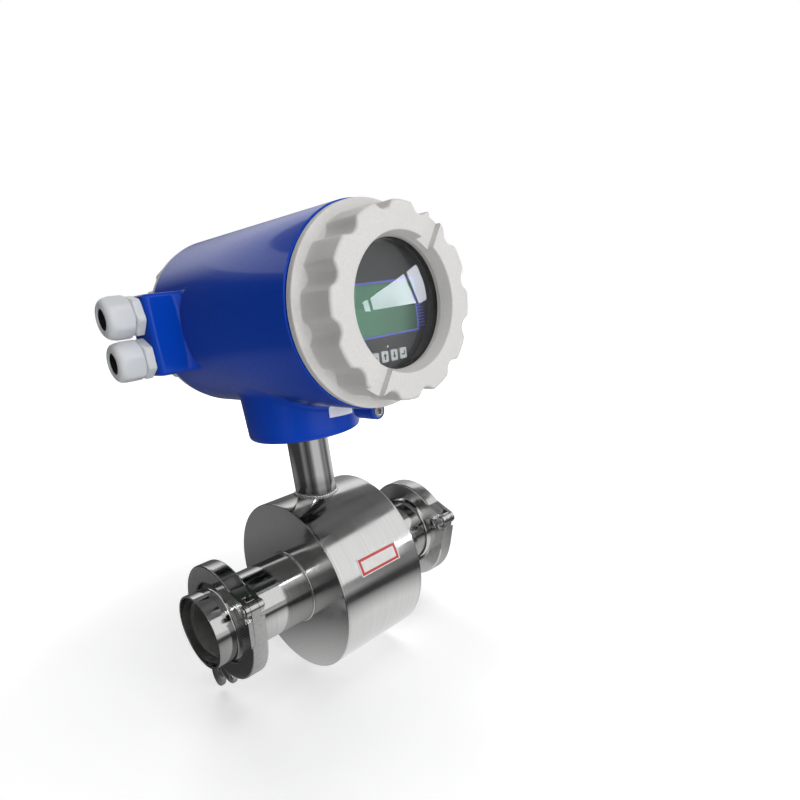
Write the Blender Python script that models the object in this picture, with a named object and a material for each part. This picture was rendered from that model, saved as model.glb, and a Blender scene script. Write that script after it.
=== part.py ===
"""Electromagnetic flow meter with hinged pipe clamps.

A steel drum round a lined flow tube carries a cast converter head on a neck.
Each end of the flow tube is joined to a weld stub by a hinged clamp ring.
+X is the flow, the display looks along -Y, and the origin is on the pipe's
axis in the middle of the drum.
"""
import math

import bmesh
import bpy
from mathutils import Matrix, Vector

MM = 0.001
TAU = 2 * math.pi
TINY = 1e-7

# Clearances
SEAT_GAP = 0.3 * MM
NUT_GAP = 0.45 * MM
OVERSHOOT = 2.0 * MM

# Facets round a full turn
FACETS_LARGE = 32
FACETS_MEDIUM = 24
FACETS_SMALL = 16
FACETS_FINE = 10

# Flow tube, liner and electrodes
TUBE_RADIUS = 25.4 * MM
TUBE_WALL = 1.5 * MM
LINER_WALL = 1.6 * MM
ELECTRODE_HEAD_RADIUS = 4.0 * MM
ELECTRODE_HEAD_HEIGHT = 1.2 * MM
ELECTRODE_PIN_RADIUS = 2.0 * MM
ELECTRODE_NUT_RADIUS = 4.5 * MM
ELECTRODE_NUT_HEIGHT = 4.0 * MM
ELECTRODE_TAIL = 6.0 * MM
TUBE_BORE = TUBE_RADIUS - TUBE_WALL
LINER_RADIUS = TUBE_BORE - SEAT_GAP
LINER_BORE = LINER_RADIUS - LINER_WALL

# Pipe joints
DRUM_HALF_LENGTH = 35.05 * MM
SPOOL_LENGTH = 52.95 * MM
STUB_LENGTH = 19.8 * MM
GASKET_THICKNESS = 1.6 * MM
FERRULE_WIDTH = 6.6 * MM
FERRULE_RIM = 1.8 * MM
FERRULE_TAPER_ANGLE = math.radians(20)
FERRULE_FILLET = 2.0 * MM
JOINT_X = DRUM_HALF_LENGTH + SPOOL_LENGTH
STUB_END_X = JOINT_X + STUB_LENGTH
FERRULE_RADIUS = TUBE_RADIUS + FERRULE_WIDTH
FERRULE_TAPER_END = TUBE_RADIUS + FERRULE_FILLET + 0.1 * MM
FERRULE_FACE = GASKET_THICKNESS / 2 + SEAT_GAP

# Drum
DRUM_RADIUS = 62.3 * MM
DRUM_WALL = 2.0 * MM
CAP_THICKNESS = 2.0 * MM
TUBE_WELD_WIDTH = 3.0 * MM
TUBE_WELD_HEIGHT = 1.5 * MM
COIL_RADIUS = 19.0 * MM
COIL_BORE = 7.0 * MM
COIL_BOTTOM = TUBE_RADIUS - 9.4 * MM
COIL_TOP = TUBE_RADIUS + 15.6 * MM

# Neck
NECK_RADIUS = 14.5 * MM
NECK_WALL = 2.0 * MM
NECK_EXPOSED = 44.5 * MM
NECK_BOTTOM_Z = DRUM_RADIUS - 5.3 * MM
NECK_WELD_RADIUS = 1.3 * MM
NECK_FLANGE_RADIUS = 27.0 * MM
NECK_FLANGE_THICKNESS = 4.0 * MM
NECK_GASKET_THICKNESS = 1.0 * MM
NECK_BOLT_CIRCLE = 21.0 * MM
NECK_BOLT_COUNT = 4
NECK_BOLT_RADIUS = 2.0 * MM
NECK_BOLT_HEAD_RADIUS = 3.5 * MM
NECK_BOLT_HEAD_HEIGHT = 4.0 * MM
NECK_BOLT_DEPTH = 4.0 * MM

# Head casting, in the head's own frame: its origin is on the barrel's axis
BARREL_RADIUS = 58.3 * MM
BARREL_WALL = 8.3 * MM
BARREL_FRONT_Y = -84.6 * MM
BARREL_REAR_Y = 76.0 * MM
THREAD_DEPTH = 1.6 * MM
BARREL_BORE = BARREL_RADIUS - BARREL_WALL
THREAD_BORE = BARREL_BORE + THREAD_DEPTH
COLLAR_DROP = 20.9 * MM
COLLAR_BOTTOM_Z = -BARREL_RADIUS - COLLAR_DROP
HEAD_Z = DRUM_RADIUS + NECK_EXPOSED - COLLAR_BOTTOM_Z
THREAD_LENGTH = 14.6 * MM
PARTITION_Y = 5.0 * MM
PARTITION_THICKNESS = 4.0 * MM
WIRE_HOLE_RADIUS = 9.0 * MM
WIRE_HOLE_X = 22.0 * MM
WIRE_HOLE_Z = 12.0 * MM
ORING_RADIUS = THREAD_BORE + 3.0 * MM
ORING_THICKNESS = 2.0 * MM
ORING_GROOVE_DEPTH = 1.6 * MM
COLLAR_RADIUS = 38.8 * MM
COLLAR_TOP_RADIUS = 40.0 * MM
COLLAR_TOP_Z = 25.0 * MM - BARREL_RADIUS
COLLAR_ROUNDING = 3.5 * MM
COLLAR_FLOOR = 6.0 * MM
COLLAR_BORE = 33.0 * MM
COLLAR_HOLLOW_TOP_Z = 22.3 * MM - BARREL_RADIUS
GLAND_BOX_X = -BARREL_RADIUS - 20.0 * MM
GLAND_BOX_Y = BARREL_REAR_Y - 28.5 * MM
GLAND_BOX_WIDTH = 28.0 * MM
GLAND_BOX_Z = -1.2 * MM
GLAND_BOX_HEIGHT = 51.0 * MM
GLAND_BOX_ROUNDING = 4.0 * MM
GLAND_BOX_EDGE = 1.6 * MM
GLAND_BOX_FLARE = 8.0 * MM
GLAND_BOX_ROOT_X = 4.0 * MM - BARREL_BORE
LUG_RADIUS = 4.4 * MM
LUG_SETBACK = 4.6 * MM
LUG_Z = -BARREL_RADIUS - 3.3 * MM
LUG_FRONT_Y = BARREL_FRONT_Y + LUG_SETBACK
LUG_REAR_Y = BARREL_REAR_Y - LUG_SETBACK
LOCK_SCREW_RADIUS = 1.5 * MM
LOCK_SCREW_LENGTH = 12.0 * MM
LOCK_HEAD_RADIUS = 2.75 * MM
LOCK_HEAD_HEIGHT = 3.0 * MM
LOCK_HEAD_PROUD = 0.7 * MM
LOCK_SOCKET_RADIUS = 1.45 * MM
LOCK_SOCKET_DEPTH = 1.6 * MM

# Screw covers
COVER_GAP = 1.0 * MM
COVER_FLANGE_RADIUS = BARREL_RADIUS - 0.8 * MM
COVER_FLANGE_THICKNESS = 4.5 * MM
COVER_FLANGE_EDGE = 0.8 * MM
COVER_LOBE_RADIUS = COVER_FLANGE_RADIUS - 5.3 * MM
COVER_FLUTES = 12
COVER_FLUTE_PHASE = math.radians(8.8)
COVER_FLUTE_RADIUS = 6.5 * MM
COVER_FLUTE_DEPTH = 4.2 * MM
COVER_LOBE_STEPS = 2
COVER_FLUTE_STEPS = 4
COVER_CHAMFER = 1.4 * MM
FRONT_COVER_DEPTH = 29.4 * MM
REAR_COVER_DEPTH = 28.4 * MM
COVER_SPIGOT_LENGTH = 12.4 * MM
COVER_BORE = THREAD_BORE - 5.3 * MM
COVER_END_WALL = 6.0 * MM
SLOT_ANGLE = math.radians(55)
SLOT_WIDTH = 10.0 * MM
SLOT_DEPTH = 4.0 * MM

# Window
WINDOW_RECESS = 7.5 * MM
WINDOW_LEDGE = 2.5 * MM
GLASS_RADIUS = COVER_BORE - 6.1 * MM
WINDOW_RADIUS = GLASS_RADIUS - 5.2 * MM
WINDOW_RIM_RADIUS = WINDOW_RADIUS + 2.0 * MM
GLASS_THICKNESS = 5.8 * MM
GLASS_GASKET_THICKNESS = 1.0 * MM
RETAINER_THICKNESS = 3.0 * MM

# Display
PANEL_FRONT_Y = BARREL_FRONT_Y - 8.0 * MM
PANEL_THICKNESS = 2.0 * MM
PANEL_RADIUS = COVER_BORE - 1.8 * MM
SCREEN_WIDTH = 1.26 * PANEL_RADIUS
SCREEN_HEIGHT = SCREEN_WIDTH / 2
SCREEN_Z = -2.0 * MM
SCREEN_RECESS = 0.5 * MM
MODULE_WIDTH = SCREEN_WIDTH + 8.0 * MM
MODULE_HEIGHT = SCREEN_HEIGHT + 8.0 * MM
MODULE_THICKNESS = 6.0 * MM
KEY_COUNT = 4
KEY_PITCH = 7.3 * MM
KEY_WIDTH = 5.2 * MM
KEY_HEIGHT = 6.2 * MM
KEY_Z = SCREEN_Z - SCREEN_HEIGHT / 2 - 12.0 * MM
KEY_PROUD = 0.8 * MM
KEY_TRAVEL = 0.8 * MM
KEY_ROUNDING = 0.6 * MM
KEY_STEM_RADIUS = 1.4 * MM
SWITCH_SIZE = 6.0 * MM
SWITCH_HEIGHT = 4.0 * MM
BOARD_FRONT_Y = PANEL_FRONT_Y + 13.6 * MM
BOARD_THICKNESS = 1.6 * MM
BOARD_RADIUS = BARREL_BORE - 6.0 * MM
POST_CIRCLE = PANEL_RADIUS - 4.5 * MM
POST_COUNT = 4
POST_RADIUS = 2.8 * MM
CARRIER_WIDTH = 8.0 * MM
CARRIER_THICKNESS = 3.0 * MM

# Terminal compartment
BOSS_RADIUS = 4.0 * MM
BOSS_COUNT = 2
BOSS_LENGTH = 26.0 * MM
BOSS_SCREW_RADIUS = 1.3 * MM
TERMINAL_BOARD_RADIUS = COVER_BORE - 1.3 * MM
BOSS_CIRCLE = TERMINAL_BOARD_RADIUS - 7.0 * MM
TERMINAL_BLOCK_LENGTH = 2 * BOSS_CIRCLE - 18.0 * MM
TERMINAL_BLOCK_DEPTH = 14.0 * MM
TERMINAL_BLOCK_HEIGHT = 15.0 * MM
TERMINAL_COUNT = 7
TERMINAL_HOLE_RADIUS = 2.4 * MM
TERMINAL_HOLE_DEPTH = 2.0 * MM
BOARD_SCREW_HEAD_RADIUS = 3.0 * MM
BOARD_SCREW_HEAD_HEIGHT = 2.0 * MM
BOARD_SCREW_DEPTH = 6.0 * MM

# Cable glands
GLAND_COUNT = 2
GLAND_PITCH = 27.0 * MM
GLAND_THREAD_RADIUS = 9.7 * MM
GLAND_THREAD_LENGTH = 13.0 * MM
GLAND_BORE = 7.0 * MM
GLAND_HEX_RADIUS = 13.2 * MM
GLAND_HEX_THICKNESS = 5.6 * MM
GLAND_HEX_TURN = math.radians(14)
GLAND_SPIGOT_RADIUS = 10.0 * MM
GLAND_SPIGOT_LENGTH = 9.0 * MM
GLAND_NUT_LENGTH = 16.6 * MM
GLAND_NUT_RADIUS = 12.4 * MM
GLAND_NUT_HEX_RADIUS = 13.0 * MM
GLAND_NUT_TIP_RADIUS = 7.8 * MM
GLAND_NUT_DOME = 6.0 * MM
GLAND_NUT_HOLE = 6.2 * MM
GLAND_NUT_LIP = 4.0 * MM
GLAND_SEAL_BORE = 4.0 * MM
GLAND_SEAL_LENGTH = 15.0 * MM

# Clamp ring, in the clamp's own frame: hinge at -Y, swing bolt at +Y
CLAMP_WALL = 7.3 * MM
CLAMP_BORE = FERRULE_TAPER_END + 1.0 * MM
CLAMP_GROOVE_RADIUS = FERRULE_RADIUS + 1.0 * MM
CLAMP_RADIUS = CLAMP_GROOVE_RADIUS + CLAMP_WALL
CLAMP_WIDTH = 12.0 * MM
CLAMP_EDGE = 1.0 * MM
CLAMP_HINGE_ANGLE = math.radians(7)
CLAMP_CLOSURE_ANGLE = math.radians(4)
INLET_CLAMP_TURN = math.radians(-28)
OUTLET_CLAMP_TURN = math.radians(-20)
HINGE_Y = -CLAMP_RADIUS - 4.2 * MM
HINGE_EAR_RADIUS = 4.6 * MM
TONGUE_WIDTH = 5.8 * MM
HINGE_PIN_RADIUS = 2.2 * MM
PIN_HEAD_RADIUS = 3.4 * MM
PIN_HEAD_HEIGHT = 1.2 * MM
BOLT_Y = CLAMP_RADIUS + 6.2 * MM
BOLT_PIVOT_Z = 8.5 * MM
BOLT_RADIUS = 3.0 * MM
BOLT_LENGTH = 45.0 * MM
EYE_RADIUS = 4.8 * MM
EYE_WIDTH = 6.0 * MM
BOLT_PIN_RADIUS = 2.0 * MM
FORK_TOP_Z = -3.6 * MM
FORK_BOTTOM_Z = -14.0 * MM
FORK_REACH = 4.0 * MM
NUT_HEIGHT = 10.0 * MM
NUT_RADIUS = 7.0 * MM
NUT_TOP_RADIUS = 5.6 * MM
WING_THICKNESS = 3.6 * MM
WING_OFFSET = 9.4 * MM
WING_DROP = 16.5 * MM
WING_HALF_WIDTH = 5.2 * MM
WING_HALF_LENGTH = 8.5 * MM
WING_TILT = math.radians(26)

COLOURS = {
    "blue_paint": ((0.006, 0.045, 0.36), 0.0, 0.32),
    "cover_paint": ((0.56, 0.55, 0.51), 0.0, 0.55),
    "polished_steel": ((0.62, 0.61, 0.59), 1.0, 0.16),
    "brushed_steel": ((0.60, 0.59, 0.57), 1.0, 0.30),
    "cast_steel": ((0.52, 0.51, 0.50), 1.0, 0.26),
    "steel_screw": ((0.55, 0.55, 0.55), 1.0, 0.28),
    "gland_grey": ((0.60, 0.62, 0.63), 0.0, 0.42),
    "seal_black": ((0.012, 0.012, 0.012), 0.0, 0.75),
    "gasket_white": ((0.78, 0.78, 0.76), 0.0, 0.60),
    "liner_white": ((0.82, 0.82, 0.80), 0.0, 0.40),
    "window_glass": ((0.86, 0.90, 0.90), 0.0, 0.04),
    "panel_black": ((0.010, 0.012, 0.014), 0.0, 0.35),
    "module_grey": ((0.20, 0.21, 0.22), 0.8, 0.40),
    "screen_green": ((0.030, 0.16, 0.070), 0.0, 0.25),
    "key_grey": ((0.62, 0.64, 0.65), 0.0, 0.45),
    "board_green": ((0.015, 0.14, 0.05), 0.0, 0.45),
    "block_green": ((0.05, 0.30, 0.12), 0.0, 0.50),
    "coil_copper": ((0.62, 0.25, 0.10), 1.0, 0.38),
}


def clear_scene():
    for item in list(bpy.data.objects):
        bpy.data.objects.remove(item)


def material(name):
    found = bpy.data.materials.get(name)
    if found:
        return found
    colour, metallic, roughness = COLOURS[name]
    made = bpy.data.materials.new(name)
    made.use_nodes = True
    made.diffuse_color = (*colour, 1.0)
    shader = made.node_tree.nodes["Principled BSDF"]
    shader.inputs["Base Color"].default_value = (*colour, 1.0)
    shader.inputs["Metallic"].default_value = metallic
    shader.inputs["Roughness"].default_value = roughness
    return made


# Outlines: lists of (u, v) points


def arc(centre, radius, start, end, steps):
    points = []
    for i in range(steps + 1):
        angle = start + (end - start) * i / steps
        points.append((centre[0] + radius * math.cos(angle), centre[1] + radius * math.sin(angle)))
    return points


def circle(centre, radius, facets):
    return arc(centre, radius, 0, TAU, facets)[:-1]


def polygon(sides, radius, turn=0.0):
    return [(radius * math.cos(turn + TAU * i / sides), radius * math.sin(turn + TAU * i / sides))
            for i in range(sides)]


def rounded_rectangle(width, height, rounding, centre=(0.0, 0.0), steps=2):
    points = []
    for i, (sign_u, sign_v) in enumerate(((1, 1), (-1, 1), (-1, -1), (1, -1))):
        corner = (centre[0] + sign_u * (width / 2 - rounding), centre[1] + sign_v * (height / 2 - rounding))
        points += arc(corner, rounding, i * TAU / 4, (i + 1) * TAU / 4, steps)
    return points


def hull(points):
    """The convex outline round some points, counter-clockwise."""
    points = sorted(set(points))

    def half(sequence):
        chain = []
        for point in sequence:
            while len(chain) > 1:
                (au, av), (bu, bv) = chain[-2], chain[-1]
                if (bu - au) * (point[1] - av) - (bv - av) * (point[0] - au) > TINY * MM:
                    break
                chain.pop()
            chain.append(point)
        return chain[:-1]

    return half(points) + half(reversed(points))


def scalloped_outline(inset=0.0):
    """The covers' grip: convex lobes between round concave flutes."""
    lobe = COVER_LOBE_RADIUS - inset
    flute = COVER_FLUTE_RADIUS + inset
    centre = COVER_LOBE_RADIUS - COVER_FLUTE_DEPTH + COVER_FLUTE_RADIUS
    half_angle = math.acos((lobe**2 + centre**2 - flute**2) / (2 * lobe * centre))
    mouth = math.asin(lobe * math.sin(half_angle) / flute)
    if lobe * math.cos(half_angle) > centre:
        mouth = math.pi - mouth
    pitch = TAU / COVER_FLUTES
    points = []
    for i in range(COVER_FLUTES):
        angle = COVER_FLUTE_PHASE + i * pitch
        middle = (centre * math.cos(angle), centre * math.sin(angle))
        inward = angle + math.pi
        points += arc(middle, flute, inward + mouth, inward - mouth, COVER_FLUTE_STEPS)
        points += arc((0, 0), lobe, angle + half_angle, angle + pitch - half_angle, COVER_LOBE_STEPS)[1:-1]
    return points


# Solids: each function returns a bmesh


def place(axis, along, u, v):
    """A point from its height along an axis and its two coordinates across it."""
    if axis == "X":
        return (along, u, v)
    if axis == "Y":
        return (u, along, v)
    return (u, v, along)


def closed(mesh):
    bmesh.ops.recalc_face_normals(mesh, faces=mesh.faces)
    return mesh


def turned(axis, profile, facets, start=0.0, sweep=TAU):
    """Turn (radius, height) points about an axis.

    A profile that starts and ends on the axis makes a solid with flat ends;
    any other one is a closed loop and makes a ring.
    """
    mesh = bmesh.new()
    whole = sweep > TAU - TINY
    columns = facets if whole else facets + 1
    solid = profile[0][0] < TINY
    loops = profile[1:-1] if solid else profile
    rings = []
    for radius, height in loops:
        ring = []
        for i in range(columns):
            angle = start + sweep * i / facets
            point = place(axis, height, radius * math.cos(angle), radius * math.sin(angle))
            ring.append(mesh.verts.new(point))
        rings.append(ring)
    pairs = list(zip(rings, rings[1:]))
    if solid:
        mesh.faces.new(rings[0])
        mesh.faces.new(rings[-1])
    else:
        pairs.append((rings[-1], rings[0]))
    for low, high in pairs:
        for i in range(facets):
            j = (i + 1) % columns
            mesh.faces.new((low[i], low[j], high[j], high[i]))
    if not whole:
        mesh.faces.new([ring[0] for ring in rings])
        mesh.faces.new([ring[-1] for ring in rings])
    return closed(mesh)


def cylinder(axis, centre, radius, low, high, facets):
    mesh = turned(axis, [(0, low), (radius, low), (radius, high), (0, high)], facets)
    mesh.transform(Matrix.Translation(place(axis, 0, *centre)))
    return mesh


def tube(axis, centre, inner, outer, low, high, facets):
    mesh = turned(axis, [(inner, low), (outer, low), (outer, high), (inner, high)], facets)
    mesh.transform(Matrix.Translation(place(axis, 0, *centre)))
    return mesh


def stacked(axis, layers):
    """Loft outlines of equal length, given as (height, outline), and cap both ends."""
    mesh = bmesh.new()
    rings = [[mesh.verts.new(place(axis, height, u, v)) for u, v in outline] for height, outline in layers]
    for low, high in zip(rings, rings[1:]):
        for i in range(len(low)):
            j = (i + 1) % len(low)
            mesh.faces.new((low[i], low[j], high[j], high[i]))
    mesh.faces.new(rings[0])
    mesh.faces.new(rings[-1])
    return closed(mesh)


def prism(axis, outline, low, high):
    return stacked(axis, [(low, outline), (high, outline)])


def box(size, centre):
    mesh = bmesh.new()
    bmesh.ops.create_cube(mesh, size=1.0)
    mesh.transform(Matrix.Translation(centre) @ Matrix.Diagonal((*size, 1.0)))
    return mesh


def around_circle(count, radius, phase=0.0):
    return [(radius * math.cos(phase + TAU * i / count), radius * math.sin(phase + TAU * i / count))
            for i in range(count)]


# Objects


def new_object(name, mesh):
    data = bpy.data.meshes.new(name)
    mesh.to_mesh(data)
    mesh.free()
    item = bpy.data.objects.new(name, data)
    bpy.context.scene.collection.objects.link(item)
    return item


def combine(item, operation, meshes):
    """Union or cut an object with some solids, and keep the result as its mesh."""
    tools = []
    for i, mesh in enumerate(meshes):
        tool = new_object(f"{item.name}_tool", mesh)
        tools.append(tool)
        step = item.modifiers.new(f"{operation}_{i}", "BOOLEAN")
        step.operation = operation
        step.solver = "EXACT"
        step.object = tool
    evaluated = item.evaluated_get(bpy.context.evaluated_depsgraph_get())
    result = bpy.data.meshes.new_from_object(evaluated)
    item.modifiers.clear()
    item.data = result
    for tool in tools:
        bpy.data.objects.remove(tool)


def finish(item, colour, frame, origin=(0, 0, 0), crease=35):
    """Move an object's origin onto its axis, hang it in its frame and dress it."""
    item.data.transform(Matrix.Translation(-Vector(origin)))
    item.location = origin
    item.parent = frame
    item.data.materials.clear()
    item.data.materials.append(material(colour))
    item.data.shade_smooth()
    item.data.set_sharp_from_angle(angle=math.radians(crease))
    return item


def add(name, mesh, colour, frame, origin=(0, 0, 0)):
    return finish(new_object(name, mesh), colour, frame, origin)


def copy_of(item, name, frame):
    twin = bpy.data.objects.new(name, item.data)
    twin.location = item.location
    twin.parent = frame
    bpy.context.scene.collection.objects.link(twin)
    return twin


def spread_copies(item, places):
    """Put an object named something_1 on the first place and copies on the others."""
    item.location = places[0]
    for i, place_at in enumerate(places[1:], 2):
        twin = copy_of(item, item.name[:-1] + str(i), item.parent)
        twin.location = place_at


def add_frame(name, location, turn=0.0, parent=None):
    frame = bpy.data.objects.new(name, None)
    frame.empty_display_size = 20 * MM
    frame.location = location
    frame.rotation_euler = (turn, 0, 0)
    frame.parent = parent
    bpy.context.scene.collection.objects.link(frame)
    return frame


# The sensor: flow tube, liner, drum and neck


def ferrule_profile(sign):
    """Outer points of a ferrule from its face to the tube, as (radius, x)."""
    rim = FERRULE_FACE + FERRULE_RIM
    taper = rim + (FERRULE_RADIUS - FERRULE_TAPER_END) * math.tan(FERRULE_TAPER_ANGLE)
    points = [(FERRULE_RADIUS, FERRULE_FACE), (FERRULE_RADIUS, rim), (FERRULE_TAPER_END, taper)]
    for i in (1, 2, 3):
        angle = i * TAU / 12
        points.append((TUBE_RADIUS + FERRULE_FILLET * (1 - math.sin(angle)),
                       taper + FERRULE_FILLET * (1 - math.cos(angle))))
    return [(radius, JOINT_X + sign * offset) for radius, offset in points]


def build_flow_tube(frame):
    outlet = ferrule_profile(-1)
    inlet = [(radius, -x) for radius, x in reversed(outlet)]
    face = JOINT_X - FERRULE_FACE
    profile = [(TUBE_BORE, face), *outlet, *inlet, (TUBE_BORE, -face)]
    item = new_object("flow_tube", turned("X", profile, FACETS_LARGE))
    hole = ELECTRODE_PIN_RADIUS + SEAT_GAP
    combine(item, "DIFFERENCE", [cylinder("Y", (0, 0), hole, -DRUM_RADIUS, DRUM_RADIUS, FACETS_FINE)])
    finish(item, "polished_steel", frame)


def build_liner(frame):
    face = JOINT_X - FERRULE_FACE
    item = new_object("liner", tube("X", (0, 0), LINER_BORE, LINER_RADIUS, -face, face, FACETS_LARGE))
    hole = ELECTRODE_HEAD_RADIUS + SEAT_GAP
    combine(item, "DIFFERENCE", [cylinder("Y", (0, 0), hole, -DRUM_RADIUS, DRUM_RADIUS, FACETS_FINE)])
    finish(item, "liner_white", frame)


def build_electrodes(frame):
    face = LINER_BORE
    seat = face + ELECTRODE_HEAD_HEIGHT
    nut = TUBE_RADIUS + SEAT_GAP
    nut_top = nut + ELECTRODE_NUT_HEIGHT
    tail = nut_top + ELECTRODE_TAIL
    profile = [(0, face), (ELECTRODE_HEAD_RADIUS, face), (ELECTRODE_HEAD_RADIUS, seat),
               (ELECTRODE_PIN_RADIUS, seat), (ELECTRODE_PIN_RADIUS, nut), (ELECTRODE_NUT_RADIUS, nut),
               (ELECTRODE_NUT_RADIUS, nut_top), (ELECTRODE_PIN_RADIUS, nut_top),
               (ELECTRODE_PIN_RADIUS, tail), (0, tail)]
    for name, sign in (("electrode_front", -1), ("electrode_rear", 1)):
        points = [(radius, sign * y) for radius, y in profile]
        add(name, turned("Y", points, FACETS_FINE), "polished_steel", frame)


def build_coils(frame):
    for name, sign in (("coil_upper", 1), ("coil_lower", -1)):
        ends = sorted((sign * COIL_BOTTOM, sign * COIL_TOP))
        item = new_object(name, tube("Z", (0, 0), COIL_BORE, COIL_RADIUS, *ends, FACETS_SMALL))
        clear = TUBE_RADIUS + SEAT_GAP
        combine(item, "DIFFERENCE", [cylinder("X", (0, 0), clear, -DRUM_RADIUS, DRUM_RADIUS, FACETS_LARGE)])
        finish(item, "coil_copper", frame)


def build_drum(frame):
    inner_end = DRUM_HALF_LENGTH - CAP_THICKNESS
    shell_end = inner_end - SEAT_GAP
    bore = DRUM_RADIUS - DRUM_WALL
    item = new_object("drum_shell", tube("X", (0, 0), bore, DRUM_RADIUS, -shell_end, shell_end, FACETS_LARGE))
    hole = NECK_RADIUS + SEAT_GAP
    combine(item, "DIFFERENCE", [cylinder("Z", (0, 0), hole, 0, DRUM_RADIUS + OVERSHOOT, FACETS_MEDIUM)])
    finish(item, "brushed_steel", frame)
    hole = TUBE_RADIUS + SEAT_GAP
    profile = [(hole, inner_end), (DRUM_RADIUS, inner_end), (DRUM_RADIUS, DRUM_HALF_LENGTH),
               (hole + TUBE_WELD_WIDTH, DRUM_HALF_LENGTH),
               (hole + TUBE_WELD_WIDTH * 0.55, DRUM_HALF_LENGTH + TUBE_WELD_HEIGHT * 0.8),
               (hole, DRUM_HALF_LENGTH + TUBE_WELD_HEIGHT)]
    for name, sign in (("drum_cap_inlet", -1), ("drum_cap_outlet", 1)):
        points = [(radius, sign * x) for radius, x in profile]
        add(name, turned("X", points, FACETS_LARGE), "polished_steel", frame)


def neck_weld():
    """A round bead that follows the drum's curve at the foot of the neck."""
    mesh = bmesh.new()
    middle = NECK_RADIUS + NECK_WELD_RADIUS * 0.3
    rings = []
    for i in range(FACETS_MEDIUM):
        angle = TAU * i / FACETS_MEDIUM
        ring = []
        for j in range(6):
            turn = TAU * j / 6
            radius = middle + NECK_WELD_RADIUS * math.cos(turn)
            across = radius * math.sin(angle)
            ground = math.sqrt((DRUM_RADIUS + SEAT_GAP) ** 2 - across**2)
            height = ground + NECK_WELD_RADIUS * (1 + math.sin(turn))
            ring.append(mesh.verts.new((radius * math.cos(angle), across, height)))
        rings.append(ring)
    for ring, after in zip(rings, rings[1:] + rings[:1]):
        for j in range(6):
            k = (j + 1) % 6
            mesh.faces.new((ring[j], ring[k], after[k], after[j]))
    return closed(mesh)


def neck_levels():
    """Heights of the neck's gasket and flange: on the collar's floor, in the world's frame."""
    floor = HEAD_Z + COLLAR_BOTTOM_Z + COLLAR_FLOOR
    gasket = floor + SEAT_GAP
    flange = gasket + NECK_GASKET_THICKNESS + SEAT_GAP
    return floor, gasket, flange, flange + NECK_FLANGE_THICKNESS


def build_neck(frame):
    floor, gasket, flange, flange_top = neck_levels()
    bore = NECK_RADIUS - NECK_WALL
    profile = [(bore, NECK_BOTTOM_Z), (NECK_RADIUS, NECK_BOTTOM_Z), (NECK_RADIUS, flange),
               (NECK_FLANGE_RADIUS, flange), (NECK_FLANGE_RADIUS, flange_top), (bore, flange_top)]
    item = new_object("neck_tube", turned("Z", profile, FACETS_MEDIUM))
    combine(item, "UNION", [neck_weld()])
    places = around_circle(NECK_BOLT_COUNT, NECK_BOLT_CIRCLE, TAU / 8)
    hole = NECK_BOLT_RADIUS + SEAT_GAP
    holes = [cylinder("Z", spot, hole, flange - OVERSHOOT, flange_top + OVERSHOOT, FACETS_FINE) for spot in places]
    combine(item, "DIFFERENCE", holes)
    finish(item, "polished_steel", frame)
    item = new_object("neck_gasket", tube("Z", (0, 0), NECK_RADIUS + SEAT_GAP, NECK_FLANGE_RADIUS, gasket,
                                          gasket + NECK_GASKET_THICKNESS, FACETS_MEDIUM))
    holes = [cylinder("Z", spot, hole, gasket - OVERSHOOT, flange + OVERSHOOT, FACETS_FINE) for spot in places]
    combine(item, "DIFFERENCE", holes)
    finish(item, "seal_black", frame)
    head = flange_top + SEAT_GAP
    top = head + NECK_BOLT_HEAD_HEIGHT
    profile = [(0, floor - NECK_BOLT_DEPTH), (NECK_BOLT_RADIUS, floor - NECK_BOLT_DEPTH), (NECK_BOLT_RADIUS, head),
               (NECK_BOLT_HEAD_RADIUS, head), (NECK_BOLT_HEAD_RADIUS, top), (0, top)]
    bolt = add("neck_bolt_1", turned("Z", profile, FACETS_FINE), "steel_screw", frame)
    spread_copies(bolt, [(x, y, 0) for x, y in places])


# The head casting


def gland_places():
    first = GLAND_BOX_Z + GLAND_PITCH * (GLAND_COUNT - 1) / 2
    return [(GLAND_BOX_Y, first - i * GLAND_PITCH) for i in range(GLAND_COUNT)]


def gland_box():
    """The conduit box: rounded outer corners and a flare where it grows from the barrel."""
    near = GLAND_BOX_Y - GLAND_BOX_WIDTH / 2
    far = GLAND_BOX_Y + GLAND_BOX_WIDTH / 2
    round_x = GLAND_BOX_X + GLAND_BOX_ROUNDING
    flare_x = -BARREL_RADIUS - GLAND_BOX_FLARE * 0.4
    quarter = TAU / 4
    outline = arc((round_x, near + GLAND_BOX_ROUNDING), GLAND_BOX_ROUNDING, 2 * quarter, 3 * quarter, 3)
    outline += arc((flare_x, near - GLAND_BOX_FLARE), GLAND_BOX_FLARE, quarter, 0, 3)
    outline += [(GLAND_BOX_ROOT_X, near - GLAND_BOX_FLARE), (GLAND_BOX_ROOT_X, far)]
    outline += arc((round_x, far - GLAND_BOX_ROUNDING), GLAND_BOX_ROUNDING, quarter, 2 * quarter, 3)
    inner = []
    for x, y in outline:
        inner.append((x + GLAND_BOX_EDGE * (1 if x < round_x else 0.0), y))
    half = GLAND_BOX_HEIGHT / 2
    low, high = GLAND_BOX_Z - half, GLAND_BOX_Z + half
    middle_y = GLAND_BOX_Y - GLAND_BOX_FLARE / 2

    def shrunk(points):
        across = 1 - 2 * GLAND_BOX_EDGE / GLAND_BOX_WIDTH
        return [(x, middle_y + (y - middle_y) * across) for x, y in points]

    return stacked("Z", [(low, shrunk(inner)), (low + GLAND_BOX_EDGE, outline),
                         (high - GLAND_BOX_EDGE, outline), (high, shrunk(inner))])


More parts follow.
